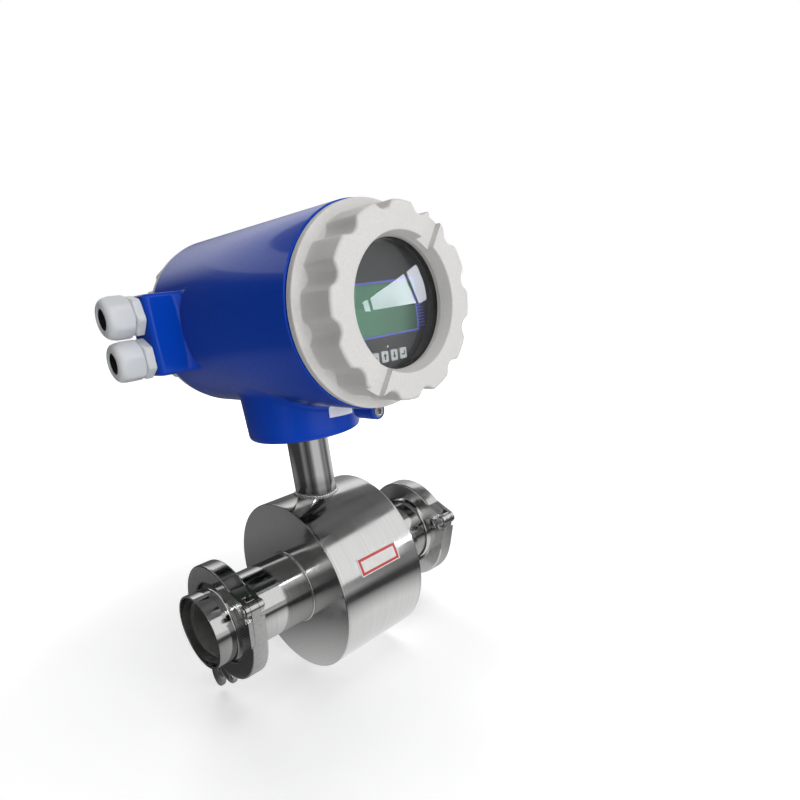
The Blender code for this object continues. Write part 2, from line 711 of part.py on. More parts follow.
def lock_lug(end_y):
    """A round-bottomed rib under the barrel that carries a cover's lock screw."""
    outline = arc((0, LUG_Z), LUG_RADIUS, math.pi, TAU, 6)
    top = LUG_Z + LUG_RADIUS
    outline += [(LUG_RADIUS, top), (-LUG_RADIUS, top)]
    root = math.copysign(COLLAR_BORE + 2 * SEAT_GAP, end_y)
    edge = math.copysign(1.0 * MM, end_y)
    scale = 1 - 1.0 * MM / LUG_RADIUS
    small = [(x * scale, LUG_Z + (z - LUG_Z) * scale) if z < LUG_Z + TINY else (x * scale, z) for x, z in outline]
    return stacked("Y", [(root, outline), (end_y - edge, outline), (end_y, small)])


def barrel():
    front, rear = BARREL_FRONT_Y, BARREL_REAR_Y
    edge, shoulder = 0.8 * MM, 2.5 * MM
    profile = [(0, front), (BARREL_RADIUS - edge, front), (BARREL_RADIUS, front + edge)]
    for i in range(4):
        angle = i * TAU / 12
        profile.append((BARREL_RADIUS - shoulder * (1 - math.cos(angle)), rear - shoulder * (1 - math.sin(angle))))
    profile.append((0, rear))
    return turned("Y", profile, FACETS_LARGE, TAU / (2 * FACETS_LARGE))


def collar():
    profile = [(0, COLLAR_BOTTOM_Z)]
    for i in range(4):
        angle = i * TAU / 12
        profile.append((COLLAR_RADIUS - COLLAR_ROUNDING * (1 - math.sin(angle)),
                        COLLAR_BOTTOM_Z + COLLAR_ROUNDING * (1 - math.cos(angle))))
    profile += [(COLLAR_TOP_RADIUS, COLLAR_TOP_Z), (0, COLLAR_TOP_Z)]
    return turned("Z", profile, FACETS_LARGE)


def chamber(open_y, wall_y):
    """The hollow of one compartment, with its threaded mouth."""
    out = math.copysign(OVERSHOOT, open_y)
    thread = open_y - math.copysign(THREAD_LENGTH, open_y)
    return turned("Y", [(0, open_y + out), (THREAD_BORE, open_y + out), (THREAD_BORE, thread),
                        (BARREL_BORE, thread), (BARREL_BORE, wall_y), (0, wall_y)], FACETS_LARGE)


def oring_groove(face_y):
    inward = math.copysign(ORING_GROOVE_DEPTH, face_y)
    out = math.copysign(OVERSHOOT, face_y)
    half = ORING_THICKNESS / 2 + SEAT_GAP
    low, high = sorted((face_y - inward, face_y + out))
    return tube("Y", (0, 0), ORING_RADIUS - half, ORING_RADIUS + half, low, high, FACETS_LARGE)


def lock_hole(end_y):
    """Counterbore and hole of a lock screw."""
    inward = -math.copysign(1, end_y)
    counterbore = end_y + inward * (LOCK_HEAD_HEIGHT - LOCK_HEAD_PROUD + SEAT_GAP)
    bottom = counterbore + inward * (LOCK_SCREW_LENGTH + SEAT_GAP)
    out = end_y - inward * OVERSHOOT
    wide, narrow = LOCK_HEAD_RADIUS + SEAT_GAP, LOCK_SCREW_RADIUS + SEAT_GAP
    mesh = turned("Y", [(0, out), (wide, out), (wide, counterbore), (narrow, counterbore),
                        (narrow, bottom), (0, bottom)], FACETS_SMALL)
    mesh.transform(Matrix.Translation((0, 0, LUG_Z)))
    return mesh


def boss_places():
    return around_circle(BOSS_COUNT, BOSS_CIRCLE)


def build_housing(frame):
    item = new_object("head_housing", barrel())
    combine(item, "UNION", [collar(), gland_box(), lock_lug(LUG_FRONT_Y), lock_lug(LUG_REAR_Y)])
    rear_wall = PARTITION_Y + PARTITION_THICKNESS
    floor = COLLAR_BOTTOM_Z + COLLAR_FLOOR
    cuts = [
        chamber(BARREL_FRONT_Y, PARTITION_Y),
        chamber(BARREL_REAR_Y, rear_wall),
        cylinder("Z", (0, 0), COLLAR_BORE, floor, COLLAR_HOLLOW_TOP_Z, FACETS_MEDIUM),
        cylinder("Z", (0, 0), NECK_RADIUS + SEAT_GAP, COLLAR_BOTTOM_Z - OVERSHOOT, floor + OVERSHOOT,
                 FACETS_MEDIUM),
        cylinder("Y", (WIRE_HOLE_X, WIRE_HOLE_Z), WIRE_HOLE_RADIUS, PARTITION_Y - OVERSHOOT,
                 rear_wall + OVERSHOOT, FACETS_SMALL),
        oring_groove(BARREL_FRONT_Y),
        oring_groove(BARREL_REAR_Y),
        lock_hole(LUG_FRONT_Y),
        lock_hole(LUG_REAR_Y),
    ]
    for spot in gland_places():
        cuts.append(cylinder("X", spot, GLAND_THREAD_RADIUS + SEAT_GAP, GLAND_BOX_X - OVERSHOOT,
                             GLAND_BOX_ROOT_X + OVERSHOOT, FACETS_SMALL))
    for spot in around_circle(NECK_BOLT_COUNT, NECK_BOLT_CIRCLE, TAU / 8):
        cuts.append(cylinder("Z", spot, NECK_BOLT_RADIUS + SEAT_GAP, floor - NECK_BOLT_DEPTH - SEAT_GAP,
                             floor + OVERSHOOT, FACETS_FINE))
    combine(item, "DIFFERENCE", cuts)
    bosses = [cylinder("Y", spot, BOSS_RADIUS, rear_wall - PARTITION_THICKNESS / 2, rear_wall + BOSS_LENGTH,
                       FACETS_FINE) for spot in boss_places()]
    combine(item, "UNION", bosses)
    end = rear_wall + BOSS_LENGTH
    holes = [cylinder("Y", spot, BOSS_SCREW_RADIUS + SEAT_GAP, end - BOARD_SCREW_DEPTH - SEAT_GAP,
                      end + OVERSHOOT, FACETS_FINE) for spot in boss_places()]
    combine(item, "DIFFERENCE", holes)
    finish(item, "blue_paint", frame)


def build_lock_screws(frame):
    for name, end_y in (("front_lock_screw", LUG_FRONT_Y), ("rear_lock_screw", LUG_REAR_Y)):
        inward = -math.copysign(1, end_y)
        face = end_y - inward * LOCK_HEAD_PROUD
        seat = face + inward * LOCK_HEAD_HEIGHT
        tip = seat + inward * LOCK_SCREW_LENGTH
        item = new_object(name, turned("Y", [(0, face), (LOCK_HEAD_RADIUS, face), (LOCK_HEAD_RADIUS, seat),
                                             (LOCK_SCREW_RADIUS, seat), (LOCK_SCREW_RADIUS, tip), (0, tip)],
                                       FACETS_SMALL))
        low, high = sorted((face - inward * OVERSHOOT, face + inward * LOCK_SOCKET_DEPTH))
        combine(item, "DIFFERENCE", [prism("Y", polygon(6, LOCK_SOCKET_RADIUS), low, high)])
        item.data.transform(Matrix.Translation((0, 0, LUG_Z)))
        finish(item, "steel_screw", frame, (0, end_y, LUG_Z))


# Covers, window and seals


def cover_body(seat_y, depth, sign):
    """Flange, scalloped grip and threaded spigot. sign is -1 in front, +1 at the rear."""
    front = seat_y + sign * depth
    lip = seat_y + sign * COVER_FLANGE_THICKNESS
    spigot = seat_y - sign * COVER_SPIGOT_LENGTH
    radius = THREAD_BORE - 1.5 * SEAT_GAP
    flange = turned("Y", [(0, spigot), (radius - COVER_FLANGE_EDGE, spigot),
                          (radius, spigot + sign * COVER_FLANGE_EDGE), (radius, seat_y),
                          (COVER_FLANGE_RADIUS, seat_y), (COVER_FLANGE_RADIUS, lip - sign * COVER_FLANGE_EDGE),
                          (COVER_FLANGE_RADIUS - COVER_FLANGE_EDGE, lip), (0, lip)], FACETS_LARGE)
    outline = scalloped_outline()
    grip = stacked("Y", [(lip - sign * COVER_FLANGE_EDGE, outline), (front - sign * COVER_CHAMFER, outline),
                         (front, scalloped_outline(COVER_CHAMFER))])
    slot = box((4 * COVER_LOBE_RADIUS, 2 * SLOT_DEPTH, SLOT_WIDTH), (0, front, 0))
    slot.transform(Matrix.Rotation(-SLOT_ANGLE, 4, "Y"))
    return flange, grip, slot, front, spigot


def build_front_cover(frame):
    seat = BARREL_FRONT_Y - COVER_GAP
    flange, grip, slot, front, spigot = cover_body(seat, FRONT_COVER_DEPTH, -1)
    item = new_object("front_cover", flange)
    combine(item, "UNION", [grip])
    ledge = front + WINDOW_RECESS
    glass_seat = ledge + WINDOW_LEDGE
    glass = glass_seat + SEAT_GAP
    glass_back = glass + GLASS_THICKNESS
    gasket = glass_back + SEAT_GAP
    gasket_back = gasket + GLASS_GASKET_THICKNESS
    retainer = gasket_back + SEAT_GAP
    retainer_back = retainer + RETAINER_THICKNESS
    slope = (WINDOW_RIM_RADIUS - WINDOW_RADIUS) / WINDOW_RECESS
    pocket = GLASS_RADIUS + SEAT_GAP
    window = turned("Y", [(0, front - OVERSHOOT), (WINDOW_RIM_RADIUS + slope * OVERSHOOT, front - OVERSHOOT),
                          (WINDOW_RADIUS, ledge), (WINDOW_RADIUS, glass_seat), (pocket, glass_seat),
                          (pocket, retainer_back + SEAT_GAP), (COVER_BORE, retainer_back + SEAT_GAP),
                          (COVER_BORE, spigot + OVERSHOOT), (0, spigot + OVERSHOOT)], FACETS_LARGE)
    combine(item, "DIFFERENCE", [window, slot])
    finish(item, "cover_paint", frame)
    add("window_glass", cylinder("Y", (0, 0), GLASS_RADIUS, glass, glass_back, FACETS_LARGE), "window_glass", frame)
    add("glass_gasket", tube("Y", (0, 0), WINDOW_RADIUS + SEAT_GAP, GLASS_RADIUS, gasket, gasket_back,
                             FACETS_LARGE), "seal_black", frame)
    add("glass_retainer", tube("Y", (0, 0), WINDOW_RADIUS, GLASS_RADIUS, retainer, retainer_back,
                               FACETS_LARGE), "panel_black", frame)


def build_rear_cover(frame):
    seat = BARREL_REAR_Y + COVER_GAP
    flange, grip, slot, front, spigot = cover_body(seat, REAR_COVER_DEPTH, 1)
    item = new_object("rear_cover", flange)
    combine(item, "UNION", [grip])
    hollow = cylinder("Y", (0, 0), COVER_BORE, spigot - OVERSHOOT, front - COVER_END_WALL, FACETS_LARGE)
    combine(item, "DIFFERENCE", [hollow, slot])
    finish(item, "cover_paint", frame)


def build_orings(frame):
    for name, face_y, sign in (("front_oring", BARREL_FRONT_Y, -1), ("rear_oring", BARREL_REAR_Y, 1)):
        low = face_y - sign * (ORING_GROOVE_DEPTH - SEAT_GAP)
        high = face_y + sign * (COVER_GAP - SEAT_GAP)
        middle = (low + high) / 2
        half_height = abs(high - low) / 2
        section = polygon(6, 1.0, TAU / 12)
        profile = [(ORING_RADIUS + ORING_THICKNESS / 2 * u, middle + half_height * v) for u, v in section]
        add(name, turned("Y", profile, FACETS_LARGE), "seal_black", frame)


# Display


def key_places():
    first = -KEY_PITCH * (KEY_COUNT - 1) / 2
    return [(first + i * KEY_PITCH, KEY_Z) for i in range(KEY_COUNT)]


def post_places():
    return around_circle(POST_COUNT, POST_CIRCLE, TAU / 8)


def build_display(frame):
    back = PANEL_FRONT_Y + PANEL_THICKNESS
    item = new_object("display_panel", cylinder("Y", (0, 0), PANEL_RADIUS, PANEL_FRONT_Y, back, FACETS_LARGE))
    low, high = PANEL_FRONT_Y - OVERSHOOT, back + OVERSHOOT
    window = rounded_rectangle(SCREEN_WIDTH + 2 * SEAT_GAP, SCREEN_HEIGHT + 2 * SEAT_GAP, 1.0 * MM, (0, SCREEN_Z), 1)
    cuts = [prism("Y", window, low, high)]
    for spot in key_places():
        hole = rounded_rectangle(KEY_WIDTH + 2 * SEAT_GAP, KEY_HEIGHT + 2 * SEAT_GAP, KEY_ROUNDING, spot)
        cuts.append(prism("Y", hole, low, high))
    combine(item, "DIFFERENCE", cuts)
    finish(item, "panel_black", frame)
    module = back + SEAT_GAP
    screen = rounded_rectangle(SCREEN_WIDTH, SCREEN_HEIGHT, 0.7 * MM, (0, SCREEN_Z), 1)
    add("lcd_screen", prism("Y", screen, PANEL_FRONT_Y + SCREEN_RECESS, module - SEAT_GAP), "screen_green", frame)
    add("lcd_module", box((MODULE_WIDTH, MODULE_THICKNESS, MODULE_HEIGHT),
                          (0, module + MODULE_THICKNESS / 2, SCREEN_Z)), "module_grey", frame)


def build_keys(frame):
    switch_top = BOARD_FRONT_Y - SWITCH_HEIGHT
    foot = switch_top - KEY_TRAVEL - 0.5 * SEAT_GAP
    back = PANEL_FRONT_Y + PANEL_THICKNESS + KEY_TRAVEL
    for i, (x, z) in enumerate(key_places()):
        cap = rounded_rectangle(KEY_WIDTH, KEY_HEIGHT, KEY_ROUNDING, (x, z))
        item = new_object(f"key_{i + 1}", prism("Y", cap, PANEL_FRONT_Y - KEY_PROUD, back))
        combine(item, "UNION", [cylinder("Y", (x, z), KEY_STEM_RADIUS, back - MM, foot, FACETS_FINE)])
        finish(item, "key_grey", frame, (x, PANEL_FRONT_Y, z))


def build_boards(frame):
    back = BOARD_FRONT_Y + BOARD_THICKNESS
    item = new_object("main_board", cylinder("Y", (0, 0), BOARD_RADIUS, BOARD_FRONT_Y, back, FACETS_MEDIUM))
    switches = [box((SWITCH_SIZE, SWITCH_HEIGHT + BOARD_THICKNESS / 2, SWITCH_SIZE),
                    (x, BOARD_FRONT_Y - SWITCH_HEIGHT / 2 + BOARD_THICKNESS / 4, z)) for x, z in key_places()]
    combine(item, "UNION", switches)
    combine(item, "DIFFERENCE", [cylinder("Y", spot, POST_RADIUS + SEAT_GAP, BOARD_FRONT_Y - OVERSHOOT,
                                          back + OVERSHOOT, FACETS_FINE) for spot in post_places()])
    finish(item, "board_green", frame)
    front = PANEL_FRONT_Y + PANEL_THICKNESS + SEAT_GAP
    wall = PARTITION_Y - SEAT_GAP
    item = new_object("board_carrier", tube("Y", (0, 0), POST_CIRCLE - CARRIER_WIDTH / 2,
                                            POST_CIRCLE + CARRIER_WIDTH / 2, wall - CARRIER_THICKNESS, wall,
                                            FACETS_MEDIUM))
    combine(item, "UNION", [cylinder("Y", spot, POST_RADIUS, wall - CARRIER_THICKNESS / 2, front, FACETS_FINE)
                            for spot in post_places()])
    finish(item, "panel_black", frame)


def build_terminals(frame):
    board = PARTITION_Y + PARTITION_THICKNESS + BOSS_LENGTH + SEAT_GAP
    top = board + BOARD_THICKNESS
    item = new_object("terminal_board", cylinder("Y", (0, 0), TERMINAL_BOARD_RADIUS, board, top, FACETS_MEDIUM))
    combine(item, "DIFFERENCE", [cylinder("Y", spot, BOSS_SCREW_RADIUS + SEAT_GAP, board - OVERSHOOT,
                                          top + OVERSHOOT, FACETS_FINE) for spot in boss_places()])
    finish(item, "board_green", frame)
    block = top + SEAT_GAP
    block_top = block + TERMINAL_BLOCK_DEPTH
    item = new_object("terminal_block", box((TERMINAL_BLOCK_LENGTH, TERMINAL_BLOCK_DEPTH, TERMINAL_BLOCK_HEIGHT),
                                            (0, (block + block_top) / 2, 0)))
    pitch = TERMINAL_BLOCK_LENGTH / TERMINAL_COUNT
    places = [((i - (TERMINAL_COUNT - 1) / 2) * pitch, TERMINAL_BLOCK_HEIGHT / 6) for i in range(TERMINAL_COUNT)]
    combine(item, "DIFFERENCE", [cylinder("Y", spot, TERMINAL_HOLE_RADIUS, block_top - TERMINAL_HOLE_DEPTH,
                                          block_top + OVERSHOOT, FACETS_FINE) for spot in places])
    finish(item, "block_green", frame)
    head = top + SEAT_GAP
    head_top = head + BOARD_SCREW_HEAD_HEIGHT
    tip = board - SEAT_GAP - BOARD_SCREW_DEPTH
    profile = [(0, head_top), (BOARD_SCREW_HEAD_RADIUS, head_top), (BOARD_SCREW_HEAD_RADIUS, head),
               (BOSS_SCREW_RADIUS, head), (BOSS_SCREW_RADIUS, tip), (0, tip)]
    screw = add("board_screw_1", turned("Y", profile, FACETS_FINE), "steel_screw", frame)
    spread_copies(screw, [(x, 0, z) for x, z in boss_places()])


# Cable glands


def build_glands(frame):
    face = GLAND_BOX_X - SEAT_GAP
    hex_end = face - GLAND_HEX_THICKNESS
    spigot_end = hex_end - GLAND_SPIGOT_LENGTH
    thread_end = face + GLAND_THREAD_LENGTH
    nut_base = hex_end - SEAT_GAP
    nut_tip = nut_base - GLAND_NUT_LENGTH
    dome = nut_tip + GLAND_NUT_DOME
    lip = nut_tip + GLAND_NUT_LIP
    clear = GLAND_SPIGOT_RADIUS + SEAT_GAP
    turns = (GLAND_HEX_TURN, GLAND_HEX_TURN + TAU / 24)
    for i, spot in enumerate(gland_places()):
        name = ("upper", "lower")[i] if GLAND_COUNT == 2 else str(i + 1)
        axis_point = Matrix.Translation((0, *spot))
        body = new_object(f"gland_body_{name}", tube("X", (0, 0), GLAND_BORE, GLAND_THREAD_RADIUS, hex_end + MM,
                                                     thread_end, FACETS_SMALL))
        flange = prism("X", polygon(6, GLAND_HEX_RADIUS, turns[i]), hex_end, face)
        combine(body, "UNION", [flange, tube("X", (0, 0), GLAND_BORE, GLAND_SPIGOT_RADIUS, spigot_end,
                                             hex_end + MM, FACETS_SMALL)])
        bore = cylinder("X", (0, 0), GLAND_BORE, spigot_end - OVERSHOOT, thread_end + OVERSHOOT, FACETS_SMALL)
        combine(body, "DIFFERENCE", [bore])
        body.data.transform(axis_point)
        finish(body, "gland_grey", frame, (face, *spot))
        profile = [(0, nut_base), (GLAND_NUT_RADIUS + MM, nut_base), (GLAND_NUT_RADIUS + MM, dome)]
        for j in range(1, 4):
            angle = j * TAU / 12
            swell = GLAND_NUT_RADIUS + MM - GLAND_NUT_TIP_RADIUS
            profile.append((GLAND_NUT_TIP_RADIUS + swell * math.cos(angle), dome - GLAND_NUT_DOME * math.sin(angle)))
        profile.append((0, nut_tip))
        nut = new_object(f"gland_nut_{name}", turned("X", profile, 2 * FACETS_FINE))
        combine(nut, "INTERSECT", [prism("X", polygon(6, GLAND_NUT_HEX_RADIUS / math.cos(TAU / 12) ** 0.5,
                                                      turns[i] + TAU / 20), nut_tip - MM, nut_base + MM)])
        hollow = turned("X", [(0, nut_base + OVERSHOOT), (clear, nut_base + OVERSHOOT), (clear, lip),
                              (GLAND_NUT_HOLE, lip - MM), (GLAND_NUT_HOLE, nut_tip - OVERSHOOT),
                              (0, nut_tip - OVERSHOOT)], FACETS_SMALL)
        combine(nut, "DIFFERENCE", [hollow])
        nut.data.transform(axis_point)
        finish(nut, "gland_grey", frame, (nut_base, *spot))
        outer = min(GLAND_BORE, GLAND_NUT_HOLE) - SEAT_GAP
        seal_end = nut_tip + 2 * MM
        seal = tube("X", spot, GLAND_SEAL_BORE, outer, seal_end, seal_end + GLAND_SEAL_LENGTH, FACETS_SMALL)
        add(f"gland_seal_{name}", seal, "seal_black", frame, (seal_end, *spot))


# Pipe ends and clamps


def build_stub(name, sign, frame):
    end = STUB_END_X
    face = JOINT_X + FERRULE_FACE
    profile = [(TUBE_BORE, face), *ferrule_profile(1), (TUBE_RADIUS, end), (TUBE_BORE, end)]
    points = [(radius, sign * x) for radius, x in profile]
    add(name, turned("X", points, FACETS_LARGE), "polished_steel", frame)


def clamp_section():
    """The V-channel, as (radius, x): its walls run parallel to the ferrules' tapers."""
    half = CLAMP_WIDTH / 2
    slope = math.tan(FERRULE_TAPER_ANGLE)
    wall = FERRULE_FACE + FERRULE_RIM + SEAT_GAP / math.cos(FERRULE_TAPER_ANGLE)
    groove = wall - (CLAMP_GROOVE_RADIUS - FERRULE_RADIUS) * slope
    lip = wall + (FERRULE_RADIUS - CLAMP_BORE) * slope
    side = [(CLAMP_BORE, half), (CLAMP_RADIUS - CLAMP_EDGE, half), (CLAMP_RADIUS, half - CLAMP_EDGE)]
    other = [(radius, -x) for radius, x in reversed(side)]
    return [*side, *other, (CLAMP_BORE, -lip), (CLAMP_GROOVE_RADIUS, -groove), (CLAMP_GROOVE_RADIUS, groove),
            (CLAMP_BORE, lip)]


def half_ring(sign):
    """Half the ring, above or below the joint's plane; angles run from +Y."""
    start = CLAMP_CLOSURE_ANGLE
    sweep = math.pi - CLAMP_CLOSURE_ANGLE - CLAMP_HINGE_ANGLE
    points = clamp_section()
    if sign > 0:
        return turned("X", points, FACETS_LARGE // 2, start, sweep)
    return turned("X", points, FACETS_LARGE // 2, -start - sweep, sweep)


def on_ring(radius, degrees):
    angle = math.radians(degrees)
    return (radius * math.cos(angle), radius * math.sin(angle))


def hinge_ear(sign):
    """Side view of an ear or tongue that grows from the ring to the hinge pin."""
    root = [on_ring(CLAMP_GROOVE_RADIUS + 2 * MM, 180 - sign * 13), on_ring(CLAMP_RADIUS - MM, 180 - sign * 24)]
    return hull(circle((HINGE_Y, 0), HINGE_EAR_RADIUS, FACETS_SMALL) + root)


def ears(outline, inner, outer):
    return [prism("X", outline, -outer, -inner), prism("X", outline, inner, outer)]


def wing(side):
    """One dished spoon of the wing nut, leaning outwards."""
    outline = []
    for u, v in circle((0, 0), 1.0, 16):
        y, z = u * WING_HALF_WIDTH, v * WING_HALF_LENGTH
        turn = side * WING_TILT
        outline.append((side * WING_OFFSET + y * math.cos(turn) - z * math.sin(turn),
                        -WING_DROP + y * math.sin(turn) + z * math.cos(turn)))
    return prism("X", outline, -WING_THICKNESS / 2, WING_THICKNESS / 2)


def build_clamp_parts(frame, label):
    half = CLAMP_WIDTH / 2
    clear = TONGUE_WIDTH / 2 + SEAT_GAP
    pin_hole = HINGE_PIN_RADIUS + SEAT_GAP
    span = CLAMP_WIDTH
    bolt_hole = BOLT_PIN_RADIUS + SEAT_GAP
    made = []

    upper = new_object(f"{label}_clamp_fixed_half", half_ring(1))
    lug = hull(circle((BOLT_Y, BOLT_PIVOT_Z), EYE_RADIUS, FACETS_SMALL)
               + [on_ring(CLAMP_GROOVE_RADIUS + 2 * MM, 6), on_ring(CLAMP_RADIUS - MM, 28)])
    eye_clear = EYE_WIDTH / 2 + SEAT_GAP
    knuckle = circle((HINGE_Y, 0), HINGE_EAR_RADIUS + SEAT_GAP, FACETS_SMALL)
    combine(upper, "DIFFERENCE", [prism("X", knuckle, -span, span)])
    combine(upper, "UNION", ears(hinge_ear(1), clear, half) + ears(lug, eye_clear, half))
    combine(upper, "DIFFERENCE", [
        cylinder("X", (HINGE_Y, 0), pin_hole, -span, span, FACETS_FINE),
        cylinder("X", (BOLT_Y, BOLT_PIVOT_Z), bolt_hole, -span, span, FACETS_FINE)])
    made.append(finish(upper, "cast_steel", frame))

    lower = new_object(f"{label}_clamp_swing_half", half_ring(-1))
    reach = BOLT_Y + FORK_REACH
    seat = FORK_BOTTOM_Z
    fork = [(CLAMP_GROOVE_RADIUS + 2 * MM, FORK_TOP_Z), (reach, FORK_TOP_Z), (reach, seat),
            (CLAMP_GROOVE_RADIUS + 2 * MM, seat)]
    slot_clear = BOLT_RADIUS + SEAT_GAP
    combine(lower, "DIFFERENCE", [prism("X", knuckle, -span, span)])
    combine(lower, "UNION", [prism("X", hinge_ear(-1), -TONGUE_WIDTH / 2, TONGUE_WIDTH / 2),
                             prism("X", hull(fork), -half, half)])
    slot = rounded_rectangle(2 * slot_clear, 4 * BOLT_RADIUS + 2 * FORK_REACH, slot_clear - TINY,
                             (0, BOLT_Y + FORK_REACH), 4)
    combine(lower, "DIFFERENCE", [
        cylinder("X", (HINGE_Y, 0), pin_hole, -span, span, FACETS_FINE),
        prism("Z", slot, seat - OVERSHOOT, FORK_TOP_Z + OVERSHOOT)])
    made.append(finish(lower, "cast_steel", frame, (0, HINGE_Y, 0)))

    for name, radius, spot in ((f"{label}_hinge_pin", HINGE_PIN_RADIUS, (HINGE_Y, 0)),
                               (f"{label}_bolt_pin", BOLT_PIN_RADIUS, (BOLT_Y, BOLT_PIVOT_Z))):
        inner = half + SEAT_GAP
        outer = inner + PIN_HEAD_HEIGHT
        profile = [(0, -outer), (PIN_HEAD_RADIUS - 0.5 * MM, -outer), (PIN_HEAD_RADIUS, -inner - 0.4 * MM),
                   (PIN_HEAD_RADIUS, -inner), (radius, -inner), (radius, inner), (PIN_HEAD_RADIUS, inner),
                   (PIN_HEAD_RADIUS, inner + 0.4 * MM), (PIN_HEAD_RADIUS - 0.5 * MM, outer), (0, outer)]
        pin = turned("X", profile, FACETS_FINE)
        pin.transform(Matrix.Translation((0, *spot)))
        made.append(add(name, pin, "steel_screw", frame, (0, *spot)))

    bolt = new_object(f"{label}_swing_bolt", prism("X", circle((BOLT_Y, BOLT_PIVOT_Z), EYE_RADIUS, FACETS_SMALL),
                                                   -EYE_WIDTH / 2, EYE_WIDTH / 2))
    end = BOLT_PIVOT_Z - BOLT_LENGTH
    shank = turned("Z", [(0, end), (BOLT_RADIUS - 0.6 * MM, end), (BOLT_RADIUS, end + 0.6 * MM),
                         (BOLT_RADIUS, BOLT_PIVOT_Z - EYE_RADIUS * 0.6), (0, BOLT_PIVOT_Z - EYE_RADIUS * 0.6)],
                   FACETS_SMALL)
    shank.transform(Matrix.Translation((0, BOLT_Y, 0)))
    combine(bolt, "UNION", [shank])
    combine(bolt, "DIFFERENCE", [cylinder("X", (BOLT_Y, BOLT_PIVOT_Z), bolt_hole, -span, span, FACETS_FINE)])
    made.append(finish(bolt, "cast_steel", frame, (0, BOLT_Y, BOLT_PIVOT_Z)))

    nut_face = FORK_BOTTOM_Z - NUT_GAP
    nut_end = nut_face - NUT_HEIGHT
    nut = new_object(f"{label}_wing_nut", turned("Z", [(0, nut_end), (NUT_TOP_RADIUS, nut_end),
                                                       (NUT_RADIUS, nut_face), (0, nut_face)], FACETS_SMALL))
    combine(nut, "UNION", [lifted(wing(side), nut_face) for side in (-1, 1)])
    combine(nut, "DIFFERENCE", [cylinder("Z", (0, 0), BOLT_RADIUS + SEAT_GAP, nut_end - 4 * OVERSHOOT,
                                         nut_face + OVERSHOOT, FACETS_FINE)])
    nut.data.transform(Matrix.Translation((0, BOLT_Y, 0)))
    made.append(finish(nut, "cast_steel", frame, (0, BOLT_Y, nut_face)))
    return made


def lifted(mesh, height):
    mesh.transform(Matrix.Translation((0, 0, height)))
    return mesh


def build_joints(frame):
    gasket = GASKET_THICKNESS / 2
    ends = (("inlet", -1, INLET_CLAMP_TURN), ("outlet", 1, OUTLET_CLAMP_TURN))
    pattern = None
    for label, sign, turn in ends:
        joint = add_frame(f"{label}_joint", (sign * JOINT_X, 0, 0), turn, frame)
        build_stub(f"{label}_stub", sign, frame)
        low, high = sorted((sign * (JOINT_X - gasket), sign * (JOINT_X + gasket)))
        ring = tube("X", (0, 0), TUBE_BORE, FERRULE_RADIUS, low, high, FACETS_MEDIUM)
        add(f"{label}_gasket", ring, "gasket_white", frame)
        if pattern is None:
            pattern = build_clamp_parts(joint, label)
            first = label
        else:
            for item in pattern:
                copy_of(item, item.name.replace(first, label, 1), joint)


def main():
    clear_scene()
    sensor = add_frame("sensor_frame", (0, 0, 0))
    head = add_frame("head_frame", (0, 0, HEAD_Z), 0.0, sensor)
    build_flow_tube(sensor)
    build_liner(sensor)
    build_electrodes(sensor)
    build_coils(sensor)
    build_drum(sensor)
    build_neck(sensor)
    build_housing(head)
    build_lock_screws(head)
    build_front_cover(head)
    build_rear_cover(head)
    build_orings(head)
    build_display(head)
    build_keys(head)
    build_boards(head)
    build_terminals(head)
    build_glands(head)
    build_joints(sensor)


main()
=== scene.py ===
from math import atan2, cos, exp, log, pi, radians, sin, sqrt, tan
from types import SimpleNamespace

import bmesh
import bpy
from mathutils import Matrix, Vector


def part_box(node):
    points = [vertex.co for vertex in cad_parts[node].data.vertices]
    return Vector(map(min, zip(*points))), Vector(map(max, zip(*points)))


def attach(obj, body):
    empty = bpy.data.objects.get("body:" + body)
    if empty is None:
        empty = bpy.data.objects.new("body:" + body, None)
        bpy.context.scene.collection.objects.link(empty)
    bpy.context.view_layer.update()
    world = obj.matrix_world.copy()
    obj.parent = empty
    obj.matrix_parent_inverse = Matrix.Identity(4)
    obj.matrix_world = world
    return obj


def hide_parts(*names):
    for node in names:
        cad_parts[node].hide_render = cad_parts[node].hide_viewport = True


bl_info = {
    "name": "Flow meter dress",
    "version": (1, 0, 0),
    "blender": (4, 5, 0),
    "location": "View3D > Sidebar > Flow meter",
    "description": "Painted head, steel drum, clamps and studio for an electromagnetic flow meter",
    "category": "Object",
}

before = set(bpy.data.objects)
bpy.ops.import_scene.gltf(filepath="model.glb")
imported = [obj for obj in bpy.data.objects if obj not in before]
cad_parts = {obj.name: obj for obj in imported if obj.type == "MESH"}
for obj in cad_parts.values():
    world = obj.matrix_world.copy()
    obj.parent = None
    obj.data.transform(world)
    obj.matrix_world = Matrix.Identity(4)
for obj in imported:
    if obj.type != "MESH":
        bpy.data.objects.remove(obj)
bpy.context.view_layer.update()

MM = 0.001
TAU = 2 * pi


def box(node):
    """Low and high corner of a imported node, in millimetres."""
    return [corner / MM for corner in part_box(node)]


HEAD_Z = sum(corner.z for corner in box("window_glass")) / 2
LIFT = Matrix.Translation((0, 0, HEAD_Z))


def length(name, default, description):
    return bpy.props.FloatProperty(name=name, default=default * MM, unit="LENGTH", description=description)


def watts(name, default, description):
    return bpy.props.FloatProperty(name=name, default=default, min=0.0, subtype="POWER", description=description)


def share(name, default, description):
    return bpy.props.FloatProperty(name=name, default=default, min=0.0, max=1.0, subtype="FACTOR",
                                   description=description)


def tint(name, default, description):
    return bpy.props.FloatVectorProperty(name=name, default=default, size=3, min=0.0, max=1.0, subtype="COLOR",
                                         description=description)


